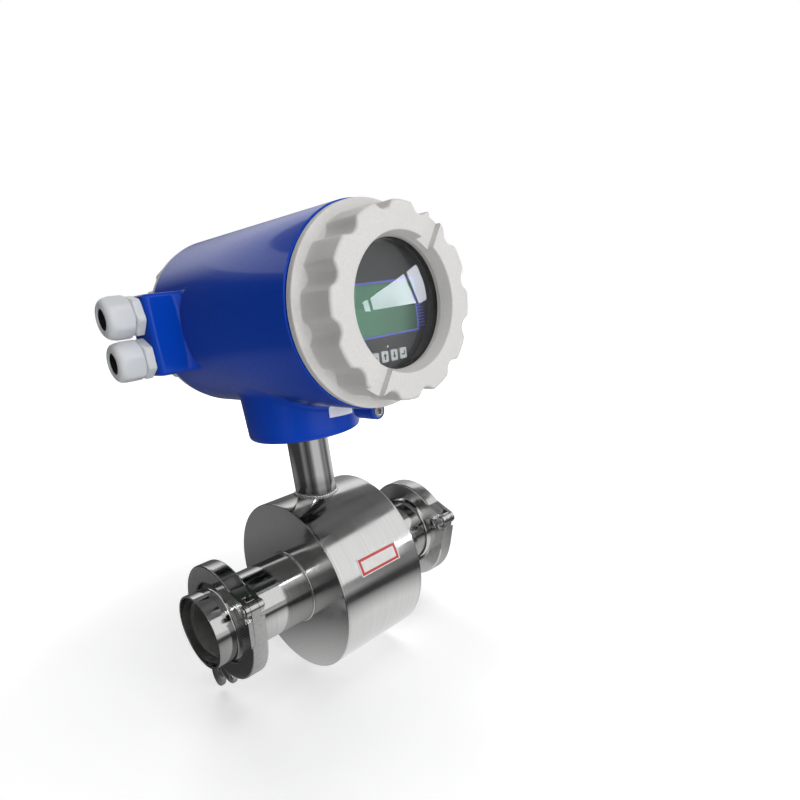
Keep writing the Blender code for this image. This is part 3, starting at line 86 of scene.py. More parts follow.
class HeadSizes(bpy.types.PropertyGroup):
    barrel_radius: length("Barrel radius", 58.3, "Outside radius of the cast barrel")
    barrel_front: length("Barrel front", -84.6, "Y of the barrel's front face")
    barrel_rear: length("Barrel rear", 76.0, "Y of the barrel's rear face")
    bore: length("Bore", 50.0, "Radius of the barrel's bore")
    thread_bore: length("Thread bore", 51.6, "Radius of the bore that the covers screw into")
    collar_bottom: length("Collar bottom", -79.2, "Bottom of the collar, from the barrel's axis")
    collar_radius: length("Collar radius", 38.8, "Radius of the collar at its foot")
    collar_top_radius: length("Collar top radius", 40.0, "Radius of the collar where it meets the barrel")
    root_fillet: length("Root fillet", 5.0, "Casting radius between the collar and the barrel")
    flange_radius: length("Cover flange radius", 57.5, "Outside radius of the covers' flanges")
    lobe_radius: length("Lobe radius", 52.2, "Radius over the lobes of the covers' grips")
    flute_depth: length("Flute depth", 4.2, "Depth of the hollows between the lobes")
    flutes: bpy.props.IntProperty(name="Flutes", default=12, min=3, description="Hollows round a cover")
    cover_edge: length("Cover edge", 2.0, "Rounding of the covers' front edges")


class SensorSizes(bpy.types.PropertyGroup):
    drum_radius: length("Drum radius", 62.3, "Outside radius of the drum")
    drum_half: length("Drum half length", 35.05, "Half of the drum's length along the pipe")
    drum_edge: length("Drum edge", 0.5, "Rounding of the edge between drum and end cap")
    tube_radius: length("Tube radius", 25.4, "Outside radius of the flow tube")
    tube_wall: length("Tube wall", 1.5, "Wall of the flow tube")
    joint_x: length("Joint", 88.0, "Distance of a pipe joint from the middle of the drum")
    neck_radius: length("Neck radius", 14.5, "Outside radius of the neck")
    weld_ripples: bpy.props.IntProperty(name="Weld ripples", default=48, description="Ripples round the neck's weld")


class ClampSizes(bpy.types.PropertyGroup):
    radius: length("Ring radius", 40.3, "Outside radius of a clamp ring")
    width: length("Ring width", 12.0, "Width of a clamp ring along the pipe")
    edge: length("Edge rounding", 0.7, "Rounding of the cast edges")
    thread_pitch: length("Thread pitch", 1.0, "Pitch of the swing bolt's thread")


class Finishes(bpy.types.PropertyGroup):
    enamel: tint("Enamel", (0.001, 0.052, 0.46), "Blue enamel of the head")
    cover_grey: tint("Cover grey", (0.66, 0.65, 0.635), "Powder coat of the two covers")
    steel: tint("Steel", (0.68, 0.68, 0.675), "Stainless steel")
    gland_grey: tint("Gland grey", (0.66, 0.68, 0.70), "Plastic of the cable glands")
    screen_green: tint("Screen green", (0.030, 0.16, 0.085), "Liquid crystal screen")
    print_violet: tint("Printed line", (0.10, 0.12, 0.62), "Printed lines round the screen")
    enamel_gloss: share("Enamel roughness", 0.30, "Roughness of the enamel")


class StudioSizes(bpy.types.PropertyGroup):
    floor_height: length("Floor height", -69.0, "Height of the floor")
    key_power: watts("Key light", 12.8, "Power of the front softbox")
    top_power: watts("Top light", 7.0, "Power of the top softbox")
    fill_power: watts("Fill light", 4.0, "Power that the left and rear softboxes follow")
    sky: share("Sky", 0.17, "Level of the light that comes from all round")
    surround: share("Surround", 0.05, "Level of the dark walls that only gloss shows")


def sizes(group):
    """A group's values, with its lengths in millimetres."""
    values, found = getattr(bpy.context.scene, group), {}
    for name, rule in values.bl_rna.properties.items():
        if name not in ("rna_type", "name"):
            value = getattr(values, name)
            found[name] = value / MM if rule.unit == "LENGTH" else value
    return SimpleNamespace(**found)


# Outlines and solids, in millimetres


def curve(start, middle, end, steps):
    """Points along a curve from start to end that leans towards middle."""
    start, middle, end = Vector(start), Vector(middle), Vector(end)
    shares = [k / steps for k in range(steps + 1)]
    return [tuple(start * (1 - s) ** 2 + middle * 2 * s * (1 - s) + end * s * s) for s in shares]


def quarter(radius, steps):
    """A quarter round, as pairs: how far it has come in one direction, and how far is left in the other."""
    turns = [TAU / 4 * k / steps for k in range(steps + 1)]
    return [(radius * (1 - cos(turn)), radius * (1 - sin(turn))) for turn in turns]


def soften(corners, steps=4, closed=True):
    """Round the corners of an outline; a corner is (u, v) or (u, v, rounding)."""
    result = []
    count = len(corners)
    for i, (u, v, *rest) in enumerate(corners):
        here = Vector((u, v))
        if not rest or (not closed and i in (0, count - 1)):
            result.append((u, v))
            continue
        before = Vector(corners[i - 1][:2]) - here
        after = Vector(corners[(i + 1) % count][:2]) - here
        reach = rest[0] / tan(max(before.angle(after) / 2, 0.05))
        reach = min(reach, 0.49 * before.length, 0.49 * after.length)
        result += curve(here + before.normalized() * reach, here, here + after.normalized() * reach, steps)
    return result


def place(axis, along, u, v):
    return {"X": (along, u, v), "Y": (u, along, v), "Z": (u, v, along)}[axis]


def loft(rings, loop=False, caps=False):
    """Faces through rings of points; loop joins the last ring to the first."""
    mesh = bmesh.new()
    made = [[mesh.verts.new(point) for point in ring] for ring in rings]
    pairs = list(zip(made, made[1:]))
    if loop:
        pairs.append((made[-1], made[0]))
    for low, high in pairs:
        for i in range(len(low)):
            j = (i + 1) % len(low)
            mesh.faces.new((low[i], low[j], high[j], high[i]))
    if caps:
        mesh.faces.new(made[0])
        mesh.faces.new(made[-1])
    bmesh.ops.recalc_face_normals(mesh, faces=mesh.faces[:])
    return mesh


def ring(axis, along, radius, count):
    """A ring of points; radius is a number or a function of the angle."""
    points = []
    for i in range(count):
        angle = TAU * i / count
        reach = radius(angle) if callable(radius) else radius
        points.append(place(axis, along, reach * cos(angle), reach * sin(angle)))
    return points


def turned(axis, profile, count=96, solid=False):
    """Turn (radius, height) points; a radius may be a function, and a solid one is closed by flat ends."""
    rings = [ring(axis, height, radius, count) for radius, height in profile]
    return loft(rings, loop=not solid, caps=solid)


def sleeve(axis, inner, outer, low, high):
    return turned(axis, soften([(inner, low, 0.4), (outer, low), (outer, high), (inner, high, 0.4)]), 128)


def arc(centre, radius, start, end, steps):
    return [(centre[0] + radius * cos(start + (end - start) * i / steps),
             centre[1] + radius * sin(start + (end - start) * i / steps)) for i in range(steps + 1)]


def circle(centre, radius, steps):
    return arc(centre, radius, 0, TAU, steps)[:-1]


def hull(points):
    """The convex outline round some points, counter-clockwise."""
    points = sorted(set(points))

    def half(sequence):
        chain = []
        for point in sequence:
            while len(chain) > 1:
                (au, av), (bu, bv) = chain[-2], chain[-1]
                if (bu - au) * (point[1] - av) - (bv - av) * (point[0] - au) > 1e-4:
                    break
                chain.pop()
            chain.append(point)
        return chain[:-1]

    return half(points) + half(reversed(points))


def prism(axis, outline, low, high):
    return loft([[place(axis, along, u, v) for u, v in outline] for along in (low, high)], caps=True)


def rod(axis, centre, radius, low, high, count=32):
    return prism(axis, circle(centre, radius, count), low, high)


def slab(left, right, low, high, front, back):
    mesh = bmesh.new()
    bmesh.ops.create_cube(mesh, size=1.0)
    centre = ((left + right) / 2, (front + back) / 2, (low + high) / 2)
    size = Matrix.Diagonal((right - left, back - front, high - low, 1.0))
    return moved(mesh, Matrix.Translation(centre) @ size)


def joined(*meshes):
    whole = meshes[0]
    for other in meshes[1:]:
        data = bpy.data.meshes.new("part")
        other.to_mesh(data)
        other.free()
        whole.from_mesh(data)
        bpy.data.meshes.remove(data)
    return whole


def moved(mesh, matrix):
    mesh.transform(matrix)
    return mesh


# Pieces


def new_object(name, mesh):
    data = bpy.data.meshes.new(name)
    mesh.to_mesh(data)
    mesh.free()
    item = bpy.data.objects.new(name, data)
    bpy.context.scene.collection.objects.link(item)
    return item


def combine(item, operation, meshes):
    """Unite an object with some solids, or cut it by them."""
    tools = []
    for mesh in meshes:
        tool = new_object(f"{item.name}_tool", mesh)
        tools.append(tool)
        step = item.modifiers.new("cut", "BOOLEAN")
        step.operation = operation
        step.solver = "EXACT"
        step.object = tool
    bpy.context.view_layer.update()
    result = bpy.data.meshes.new_from_object(item.evaluated_get(bpy.context.evaluated_depsgraph_get()))
    if not result.polygons:
        raise RuntimeError(f"{item.name} vanished in a cut")
    item.modifiers.clear()
    item.data = result
    for tool in tools:
        bpy.data.objects.remove(tool)
    return item


def dress(item, finish, body, slot, *stands_for, rounding=0.0, crease=30, limit=40, mirrored=True):
    """Bring a piece to metres, give it its finish, ease its cut edges and hang it on its body."""
    item.data.transform(Matrix.Scale(MM, 4))
    item.data.materials.append(finish)
    item.data.shade_smooth()
    item.visible_glossy = mirrored
    if rounding:
        bevel = item.modifiers.new("cast edges", "BEVEL")
        bevel.width = rounding * MM
        bevel.segments = 2
        bevel.limit_method = "ANGLE"
        bevel.angle_limit = radians(limit)
        item.modifiers.new("even shading", "WEIGHTED_NORMAL")
    else:
        item.data.set_sharp_from_angle(angle=radians(crease))
    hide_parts(*stands_for)
    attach(item, body)


def add(name, mesh, finish, body, slot, *stands_for, **options):
    dress(new_object(name, mesh), finish, body, slot, *stands_for, **options)


# Finishes


class Recipe:
    """A finish's node tree, built up from its shader."""

    def __init__(self, name, **values):
        self.finish = bpy.data.materials.new(name)
        self.finish.use_nodes = True
        self.tree = self.finish.node_tree
        self.shader = self.tree.nodes["Principled BSDF"]
        self.place = self.node("TexCoord").outputs["Object"]
        self.set(**values)

    def node(self, kind, inputs=None, **settings):
        made = self.tree.nodes.new("ShaderNode" + kind)
        for key, value in settings.items():
            setattr(made, key, value)
        for key, value in (inputs or {}).items():
            self.feed(made.inputs[key], value)
        return made

    def feed(self, socket, value):
        if isinstance(value, bpy.types.NodeSocket):
            self.tree.links.new(value, socket)
        elif socket.type == "RGBA" and len(value) == 3:
            socket.default_value = (*value, 1.0)
        else:
            socket.default_value = value

    def set(self, **values):
        for key, value in values.items():
            self.feed(self.shader.inputs[key.replace("_", " ")], value)

    def stretched(self, scale):
        return self.node("Mapping", {"Vector": self.place, "Scale": scale}).outputs["Vector"]

    def noise(self, scale, detail=3.0, vector=None, rough=0.5):
        return self.node("TexNoise", {"Vector": vector or self.place, "Scale": scale, "Detail": detail,
                                      "Roughness": rough}).outputs["Fac"]

    def spread(self, value, low, high, start=0.0, end=1.0):
        return self.node("MapRange", {"Value": value, "From Min": start, "From Max": end, "To Min": low,
                                      "To Max": high}).outputs["Result"]

    def blend(self, factor, first, second):
        return self.node("Mix", {0: factor, 6: first, 7: second}, data_type="RGBA").outputs[2]

    def sum(self, operation, first, second):
        return self.node("Math", {0: first, 1: second}, operation=operation).outputs[0]

    def relief(self, height, strength, depth, under=None):
        inputs = {"Height": height, "Strength": strength, "Distance": depth}
        if under:
            inputs["Normal"] = under
        return self.node("Bump", inputs).outputs["Normal"]

    def finished(self, colour, grain, rough, relief=None):
        """The finish, with a roughness (low, high, from, to) and a relief (strength, depth) that follow its grain."""
        self.set(Base_Color=colour, Roughness=self.spread(grain, *rough))
        if relief:
            self.set(Normal=self.relief(grain, *relief))
        return self.finish


# The values between which most of a noise lies
MIDDLE = (0.3, 0.7)


def scaled(colour, factor):
    return tuple(min(1.0, part * factor) for part in colour)


def enamel():
    """Glossy blue enamel with a faint orange peel over the casting."""
    look = sizes("meter_finishes")
    recipe = Recipe("cobalt enamel on cast aluminium", Coat_Weight=0.60, Coat_Roughness=0.08, Coat_IOR=1.5,
                    Specular_IOR_Level=0.08)
    colour = recipe.blend(recipe.noise(18.0, 2.0), scaled(look.enamel, 0.88), scaled(look.enamel, 1.10))
    grit = recipe.noise(1700.0, 2.0, rough=0.6)
    skin = recipe.relief(grit, 0.05, 0.0001, recipe.relief(recipe.noise(330.0, 2.0), 0.10, 0.0003))
    recipe.set(Base_Color=colour, Normal=skin,
               Roughness=recipe.spread(grit, look.enamel_gloss - 0.05, look.enamel_gloss + 0.07, *MIDDLE))
    return recipe.finish


def powder_coat():
    """Warm grey powder coat with a fine sand grain."""
    grey = sizes("meter_finishes").cover_grey
    recipe = Recipe("warm grey powder coat", Coat_Weight=0.12, Coat_Roughness=0.35)
    grain = recipe.noise(950.0, 4.0, rough=0.7)
    colour = recipe.blend(recipe.spread(grain, 0.0, 1.0, 0.35, 0.65), scaled(grey, 0.91), grey)
    patch = recipe.spread(recipe.noise(35.0, 2.0), 0.0, 0.35, 0.4, 0.7)
    colour = recipe.blend(patch, colour, scaled(grey, 0.9))
    return recipe.finished(colour, grain, (0.42, 0.60, *MIDDLE), (0.55, 0.0005))


# Tool lines along x, y and z, lowest and highest roughness, relief and shade of each steel
STEELS = {
    "polished pipe steel": ((2600.0, 26.0, 26.0), 0.05, 0.10, 0.03, 0.92),
    "brushed drum steel": ((3200.0, 14.0, 14.0), 0.08, 0.13, 0.02, 1.0),
    "polished end cap steel": ((40.0, 1500.0, 1500.0), 0.10, 0.15, 0.015, 0.92),
    "tumbled cast steel": ((420.0, 420.0, 420.0), 0.10, 0.17, 0.03, 0.90),
    "turned screw steel": ((900.0, 900.0, 900.0), 0.22, 0.36, 0.2, 0.9),
    "rippled weld": ((700.0, 700.0, 700.0), 0.14, 0.34, 0.9, 0.95),
    "cap weld": ((500.0, 500.0, 500.0), 0.14, 0.26, 0.3, 1.0),
    "electrode alloy": ((700.0, 700.0, 700.0), 0.2, 0.32, 0.1, 1.0),
    "satin module frame": ((900.0, 900.0, 900.0), 0.35, 0.5, 0.1, 0.4),
}


def steel(name):
    """Stainless steel with fine tool lines."""
    lines, low, high, strength, shade = STEELS[name]
    recipe = Recipe(name, Metallic=1.0)
    grain = recipe.noise(1.0, 4.0, recipe.stretched(lines), 0.6)
    base = scaled(sizes("meter_finishes").steel, shade)
    rough = recipe.sum("ADD", recipe.spread(grain, low, high, *MIDDLE),
                       recipe.spread(recipe.noise(40.0), -0.02, 0.05, *MIDDLE))
    colour = recipe.blend(recipe.spread(grain, 0.0, 1.0, *MIDDLE), scaled(base, 0.90), scaled(base, 1.06))
    recipe.set(Base_Color=colour, Roughness=rough, Normal=recipe.relief(grain, strength, 0.0001))
    return recipe.finish


def neck_steel():
    """Polished tube, duller and darker where the weld has heated it."""
    recipe = Recipe("neck steel dulled by the weld", Metallic=1.0)
    grain = recipe.noise(1.0, 4.0, recipe.stretched((30.0, 30.0, 2600.0)), 0.6)
    height = recipe.node("SeparateXYZ", {0: recipe.place}).outputs["Z"]
    wander = recipe.sum("MULTIPLY", recipe.noise(90.0, 2.0), 0.004)
    level = recipe.spread(recipe.sum("SUBTRACT", height, wander), 0.0, 1.0, 0.058, 0.074)
    ramp = recipe.node("ValToRGB", {"Fac": level})
    bands = ramp.color_ramp.elements
    bands[0].color = (0.34, 0.34, 0.34, 1)
    bands[1].color = (*sizes("meter_finishes").steel, 1)
    for spot, grey in ((0.2, 0.30), (0.4, 0.50), (0.6, 0.46)):
        bands.new(spot).color = (grey, grey, grey, 1)
    return recipe.finished(ramp.outputs["Color"], grain, (0.05, 0.10, *MIDDLE), (0.04, 0.0001))


def moulded(name, colour, low, high, grain_scale=700.0, strength=0.12, **values):
    """Moulded plastic or rubber with a fine skin."""
    recipe = Recipe(name, **values)
    grain = recipe.noise(grain_scale)
    colour = recipe.blend(recipe.noise(60.0, 2.0), scaled(colour, 0.93), scaled(colour, 1.05))
    return recipe.finished(colour, grain, (low, high, *MIDDLE), (strength, 0.0002))


def toughened_glass():
    """Clear window glass with faint wipe marks."""
    recipe = Recipe("toughened window glass", Transmission_Weight=1.0, IOR=1.5)
    smear = recipe.noise(1.0, 3.0, recipe.stretched((60.0, 10.0, 14.0)))
    return recipe.finished(recipe.blend(smear, (0.97, 0.99, 0.985), (1.0, 1.0, 1.0)), smear, (0.0, 0.02, 0.55, 0.8))


def screen_glass():
    """Green liquid crystal screen with painted shade that darkens it towards its right edge."""
    green = sizes("meter_finishes").screen_green
    recipe = Recipe("green liquid crystal screen", Coat_Weight=0.4, Coat_Roughness=0.08)
    across = recipe.node("SeparateXYZ", {0: recipe.place}).outputs["X"]
    left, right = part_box("lcd_screen")
    # painted shade: the green darkens from the screen's left edge to its right edge
    painted_shade = recipe.spread(across, 0.0, 1.0, left.x, right.x)
    cells = recipe.noise(1.0, 1.0, recipe.stretched((2400.0, 10.0, 2400.0)))
    colour = recipe.blend(painted_shade, scaled(green, 1.25), scaled(green, 0.55))
    colour = recipe.blend(recipe.spread(cells, 0.0, 0.25, 0.35, 0.65), colour, scaled(green, 1.5))
    return recipe.finished(colour, cells, (0.2, 0.3, *MIDDLE))


def circuit_board():
    """Green solder mask with copper tracks under it."""
    recipe = Recipe("circuit board", Coat_Weight=0.3, Coat_Roughness=0.2)
    tracks = recipe.node("TexBrick", {"Vector": recipe.place, "Scale": 160.0, "Mortar Size": 0.08,
                                      "Color1": (0.012, 0.12, 0.045), "Color2": (0.016, 0.16, 0.06),
                                      "Mortar": (0.06, 0.26, 0.10)})
    recipe.set(Base_Color=tracks.outputs["Color"], Roughness=recipe.spread(recipe.noise(500.0), 0.35, 0.5),
               Normal=recipe.relief(tracks.outputs["Fac"], 0.2, 0.0001))
    return recipe.finish


def wound_copper():
    """Enamelled copper wire wound side by side."""
    recipe = Recipe("wound copper wire", Metallic=1.0, Coat_Weight=0.5, Coat_Roughness=0.2)
    wires = recipe.node("TexWave", {"Vector": recipe.place, "Scale": 320.0, "Distortion": 0.4},
                        bands_direction="Z").outputs["Fac"]
    colour = recipe.blend(wires, (0.30, 0.10, 0.035), (0.66, 0.28, 0.12))
    return recipe.finished(colour, wires, (0.45, 0.28), (0.8, 0.0003))


def bordered_plate():
    """White enamelled plate with a red border and nothing else on it."""
    recipe = Recipe("blank plate with a red border", Coat_Weight=0.3, Coat_Roughness=0.2)
    axes = recipe.node("SeparateXYZ", {0: recipe.node("TexCoord").outputs["Generated"]})
    outside, inside = [], []
    for axis, margin in (("X", 0.022), ("Z", 0.06)):
        edge = recipe.sum("ABSOLUTE", recipe.sum("SUBTRACT", axes.outputs[axis], 0.5), 0.0)
        outside.append(recipe.sum("GREATER_THAN", edge, 0.5 - 3.4 * margin))
        inside.append(recipe.sum("LESS_THAN", edge, 0.5 - margin))
    border = recipe.sum("MULTIPLY", recipe.sum("MAXIMUM", *outside), recipe.sum("MULTIPLY", *inside))
    wear = recipe.noise(260.0)
    paper = recipe.blend(wear, (0.62, 0.61, 0.59), (0.78, 0.77, 0.75))
    return recipe.finished(recipe.blend(border, paper, (0.50, 0.05, 0.055)), wear, (0.3, 0.45))


# The cast head

CAST = ("meter", "blue_paint", "head_housing")
LOCK_SCREW_DROP = 61.3


def underside(head, across):
    """Height of the barrel's underside at a distance from its middle plane."""
    return -sqrt(head.barrel_radius ** 2 - across ** 2)


def barrel_shell(head):
    """The barrel with a thread bore and a groove at each end, and the wall between its two rooms."""
    front, rear, bore, thread = head.barrel_front, head.barrel_rear, head.thread_bore, 14.6
    inner, outer, depth = bore + 1.7, bore + 4.3, 1.6

    def end(y, inward, edge):
        return [(bore, y, 0.5), (inner, y), (inner, y + inward * depth), (outer, y + inward * depth), (outer, y),
                (head.barrel_radius, y, edge)]

    profile = end(front, 1, 0.8) + end(rear, -1, 2.6)[::-1]
    profile += [(bore, rear - thread), (head.bore, rear - thread - 1), (head.bore, front + thread + 1),
                (bore, front + thread)]
    return joined(turned("Y", soften(profile, 6), 160), rod("Y", (0, 0), head.bore + 0.5, 5, 9, 96))


def collar_wall(head, side):
    """The collar's outside from its foot into the cast fillet, as (radius, height); side is a cosine."""
    top, fillet = head.collar_top_radius, head.root_fillet
    corner = underside(head, top * side)
    return [(head.collar_radius, head.collar_bottom)] + curve(
        (top - 0.2, corner - fillet), (top, corner), (top + fillet, underside(head, (top + fillet) * side)), 8)


def collar_reach(head, angle, height):
    """Radius of the collar's outside at an angle and a height."""
    wall = collar_wall(head, cos(angle))
    for (low_radius, low), (high_radius, high) in zip(wall, wall[1:]):
        if height <= high:
            break
    return low_radius + (high_radius - low_radius) * (height - low) / (high - low)


def collar_shell(head):
    """The collar, with a cast fillet that follows the barrel all round."""
    bottom, hole, inner, floor, count = head.collar_bottom, 14.8, 33, 6, 144
    sections = []
    for i in range(count):
        angle = TAU * i / count
        side = cos(angle)
        wall = collar_wall(head, side)
        section = soften([(hole, bottom + floor), (hole, bottom, 0.6), (*wall[0], 3.5), wall[1]], 6, closed=False)
        section += wall[2:] + [(wall[-1][0] - 1, wall[-1][1] + 2.5), (inner, underside(head, inner * side) + 3),
                               (inner, bottom + floor)]
        sections.append([(radius * side, radius * sin(angle), height) for radius, height in section])
    return loft(list(zip(*sections)), loop=True)


def conduit_box(head):
    """The box that carries the glands: rounded edges and a hollow sweep into the barrel."""
    near, far, face, low, high, flare = 33.5, 61.5, -78.3, -26.7, 24.3, 9.0
    levels = [(low + run, inset) for run, inset in quarter(2.4, 5)]
    levels += [(low + high - z, inset) for z, inset in reversed(levels)]
    rings = []
    for z, inset in levels:
        side = underside(head, z)
        outline = soften([
            (face + inset, far - inset, 4), (face + inset, near + inset, 4), (side, near + inset, flare),
            (side, near + inset - 1.6 * flare), (side + 5, near - 1.6 * flare), (side + 5, far + 4),
            (side, far + 3), (side, far - inset, 2.5)], 8)
        rings.append([(x, y, z) for x, y in outline])
    return loft(rings, caps=True)


def lock_lug(head, end, sign):
    """A short boss under the barrel's end that carries a lock screw."""
    width, drop, reach, nose, tail, root = 5.5, -60.9, 20.5, 1.2, 4.6, 1.2
    layers = [(end - sign * depth, inset) for inset, depth in quarter(nose, 5)]
    layers += [(end - sign * (reach - depth), inset) for inset, depth in quarter(tail, 6)]
    rings = []
    for y, inset in sorted(layers):
        radius = width - inset
        roof = underside(head, radius)
        flank = soften([(radius, drop), (radius, roof, root), (radius + 1.6, roof + 0.1)], 4, closed=False)[1:]
        outline = arc((0, drop), radius, pi, TAU, 16) + flank + [(radius, roof + 2), (-radius, roof + 2)]
        rings.append([(x, y, z) for x, z in outline + [(-x, z) for x, z in reversed(flank)]])
    return loft(rings, caps=True)


class MakeCasting(bpy.types.Operator):
    """Barrel, collar, conduit box and lock lugs of the head, with its lock screws"""
    bl_idname = "meter.make_casting"
    bl_label = "Cast head"

    def execute(self, context):
        head, paint, screw = sizes("meter_head"), enamel(), steel("turned screw steel")
        whole = joined(barrel_shell(head), collar_shell(head))
        add("casting", moved(whole, LIFT), paint, *CAST, crease=38, mirrored=False)
        add("conduit_box", moved(conduit_box(head), LIFT), paint, *CAST, crease=50, mirrored=False)
        spot = Matrix.Translation((0, 0, HEAD_Z - LOCK_SCREW_DROP))
        radius, gap, socket_radius, axis = 3.5, 0.45, 1.9, (0, 0)
        for label, sign, end in (("front", -1, -80.0), ("rear", 1, 71.4)):
            lug = new_object(f"{label}_lug", moved(lock_lug(head, end, sign), LIFT))
            sunk = rod("Y", axis, radius + gap, *sorted((end - sign * 2.6, end + sign * 2)), 40)
            combine(lug, "DIFFERENCE", [moved(sunk, spot)])
            dress(lug, paint, *CAST, rounding=0.35, limit=50, mirrored=False)
            face, foot = end + sign * 0.6, end - sign * 2.4
            profile = soften([(0.3, face), (radius, face, 0.5), (radius, foot), (0.3, foot)], 4, closed=False)
            top = new_object(f"{label}_lock_screw_head", turned("Y", profile, 40, solid=True))
            socket = prism("Y", circle(axis, socket_radius, 6), *sorted((face + sign, face - sign * 1.6)))
            combine(top, "DIFFERENCE", [socket])
            top.data.transform(spot)
            dress(top, screw, "meter", "steel_screw", f"{label}_lock_screw", rounding=0.15, limit=50)
        return {"FINISHED"}


# The covers

COVER_COUNT = 240
SPIGOT_BORE, WINDOW_RADIUS, SEAT_RADIUS = 46.3, 35, 40.5
SLOT_HALF, SLOT_DEPTH, SLOT_TURN = 5, 4, -radians(55)


def grip_outline(head, turn):
    """Radius of the scalloped grip at any angle, with its corners rounded."""
    flute, steps, blur, softness, pitch = 6.5, 720, 8, 2.6, TAU / head.flutes
    centre = head.lobe_radius - head.flute_depth + flute
    raw = []
    for i in range(steps):
        offset = (TAU * i / steps - turn + pitch / 2) % pitch - pitch / 2
        across = centre * sin(offset)
        reach = head.lobe_radius
        if abs(across) < flute:
            reach = min(reach, centre * cos(offset) - sqrt(flute ** 2 - across ** 2))
        raw.append(reach)
    weights = [exp(-(k / softness) ** 2) for k in range(-blur, blur + 1)]
    even = [sum(weight * raw[(i + k - blur) % steps] for k, weight in enumerate(weights)) / sum(weights)
            for i in range(steps)]
    return lambda angle: even[round(angle / TAU * steps) % steps]


def cover_skin(head, seat, face, sign, turn):
    """Profile from the spigot over the flange and the scalloped grip to the front face."""
    grip, outer = grip_outline(head, turn), head.thread_bore - 0.45
    spigot, lip = seat - sign * 12.4, seat + sign * 4.5

    def scalloped(out):
        return lambda angle: grip(angle) + out

    profile = soften([(SPIGOT_BORE, spigot), (outer, spigot, 0.8), (outer, seat), (head.flange_radius, seat, 0.4),
                      (head.flange_radius, lip, 1.1), (head.lobe_radius + 1.2, lip)], 5, closed=False)
    profile += [(scalloped(out), lip + sign * along) for along, out in quarter(1.0, 3)]
    profile += [(scalloped(-inset), face - sign * depth) for inset, depth in quarter(head.cover_edge, 6)]
    return profile, spigot


class MakeCovers(bpy.types.Operator):
    """Front cover with its window, and the rear cover"""
    bl_idname = "meter.make_covers"
    bl_label = "Screw covers"

    def execute(self, context):
        head, coat = sizes("meter_head"), powder_coat()
        front, rear = box("front_cover")[0].y, box("rear_cover")[1].y
        skin, spigot = cover_skin(head, head.barrel_front - 1, front, -1, radians(8.8))
        rim = soften([(44, front), (37.2, front, 1.0), (WINDOW_RADIUS, front + 7.5, 0.3), (WINDOW_RADIUS, front + 10),
                      (SEAT_RADIUS, front + 10), (SEAT_RADIUS, front + 21), (SPIGOT_BORE, front + 21),
                      (SPIGOT_BORE, spigot - 0.5)], 4, closed=False)
        window_cover = turned("Y", skin + rim, COVER_COUNT)
        skin, spigot = cover_skin(head, head.barrel_rear + 1, rear, 1, radians(20))
        inside = [(0.5, rear - 6), (SPIGOT_BORE, rear - 6)]
        plain_cover = turned("Y", inside + skin + [(40, rear), (0.5, rear)], COVER_COUNT, solid=True)
        for name, mesh, face in (("front_cover", window_cover, front), ("rear_cover", plain_cover, rear)):
            cover = new_object(f"{name}_shell", mesh)
            slot = slab(-110, 110, -SLOT_HALF, SLOT_HALF, face - SLOT_DEPTH, face + SLOT_DEPTH)
            combine(cover, "DIFFERENCE", [moved(slot, Matrix.Rotation(SLOT_TURN, 4, "Y"))])
            cover.data.transform(LIFT)
            dress(cover, coat, name, "cover_paint", name, rounding=0.5, limit=55)
        low, high = box("glass_retainer")
        black = moulded("black retainer", (0.012, 0.012, 0.014), 0.3, 0.45)
        retainer = moved(sleeve("Y", WINDOW_RADIUS, 40.2, low.y, high.y), LIFT)
        add("window_retainer", retainer, black, "front_cover", "panel_black", "glass_retainer")
        return {"FINISHED"}


# Display

# Outlines of the marks on the keys, from the middle of each key
KEY_MARKS = (
    ((-1.2, -1.4), (1.3, 0.2), (-1.2, 1.5), (-0.5, 0.1)),
    ((-0.6, -1.8), (0.5, -1.8), (0.6, 0.3), (1.5, 0.3), (0.0, 1.9), (-1.5, 0.3), (-0.6, 0.3)),
    ((-0.5, 1.8), (-0.5, -0.3), (-1.4, -0.3), (0.0, -1.9), (1.4, -0.3), (0.5, -0.3), (0.5, 1.8)),
    ((-1.5, -1.0), (1.4, -1.0), (1.4, 1.4), (0.6, 1.4), (0.6, -0.2), (-1.5, -0.2)),
)


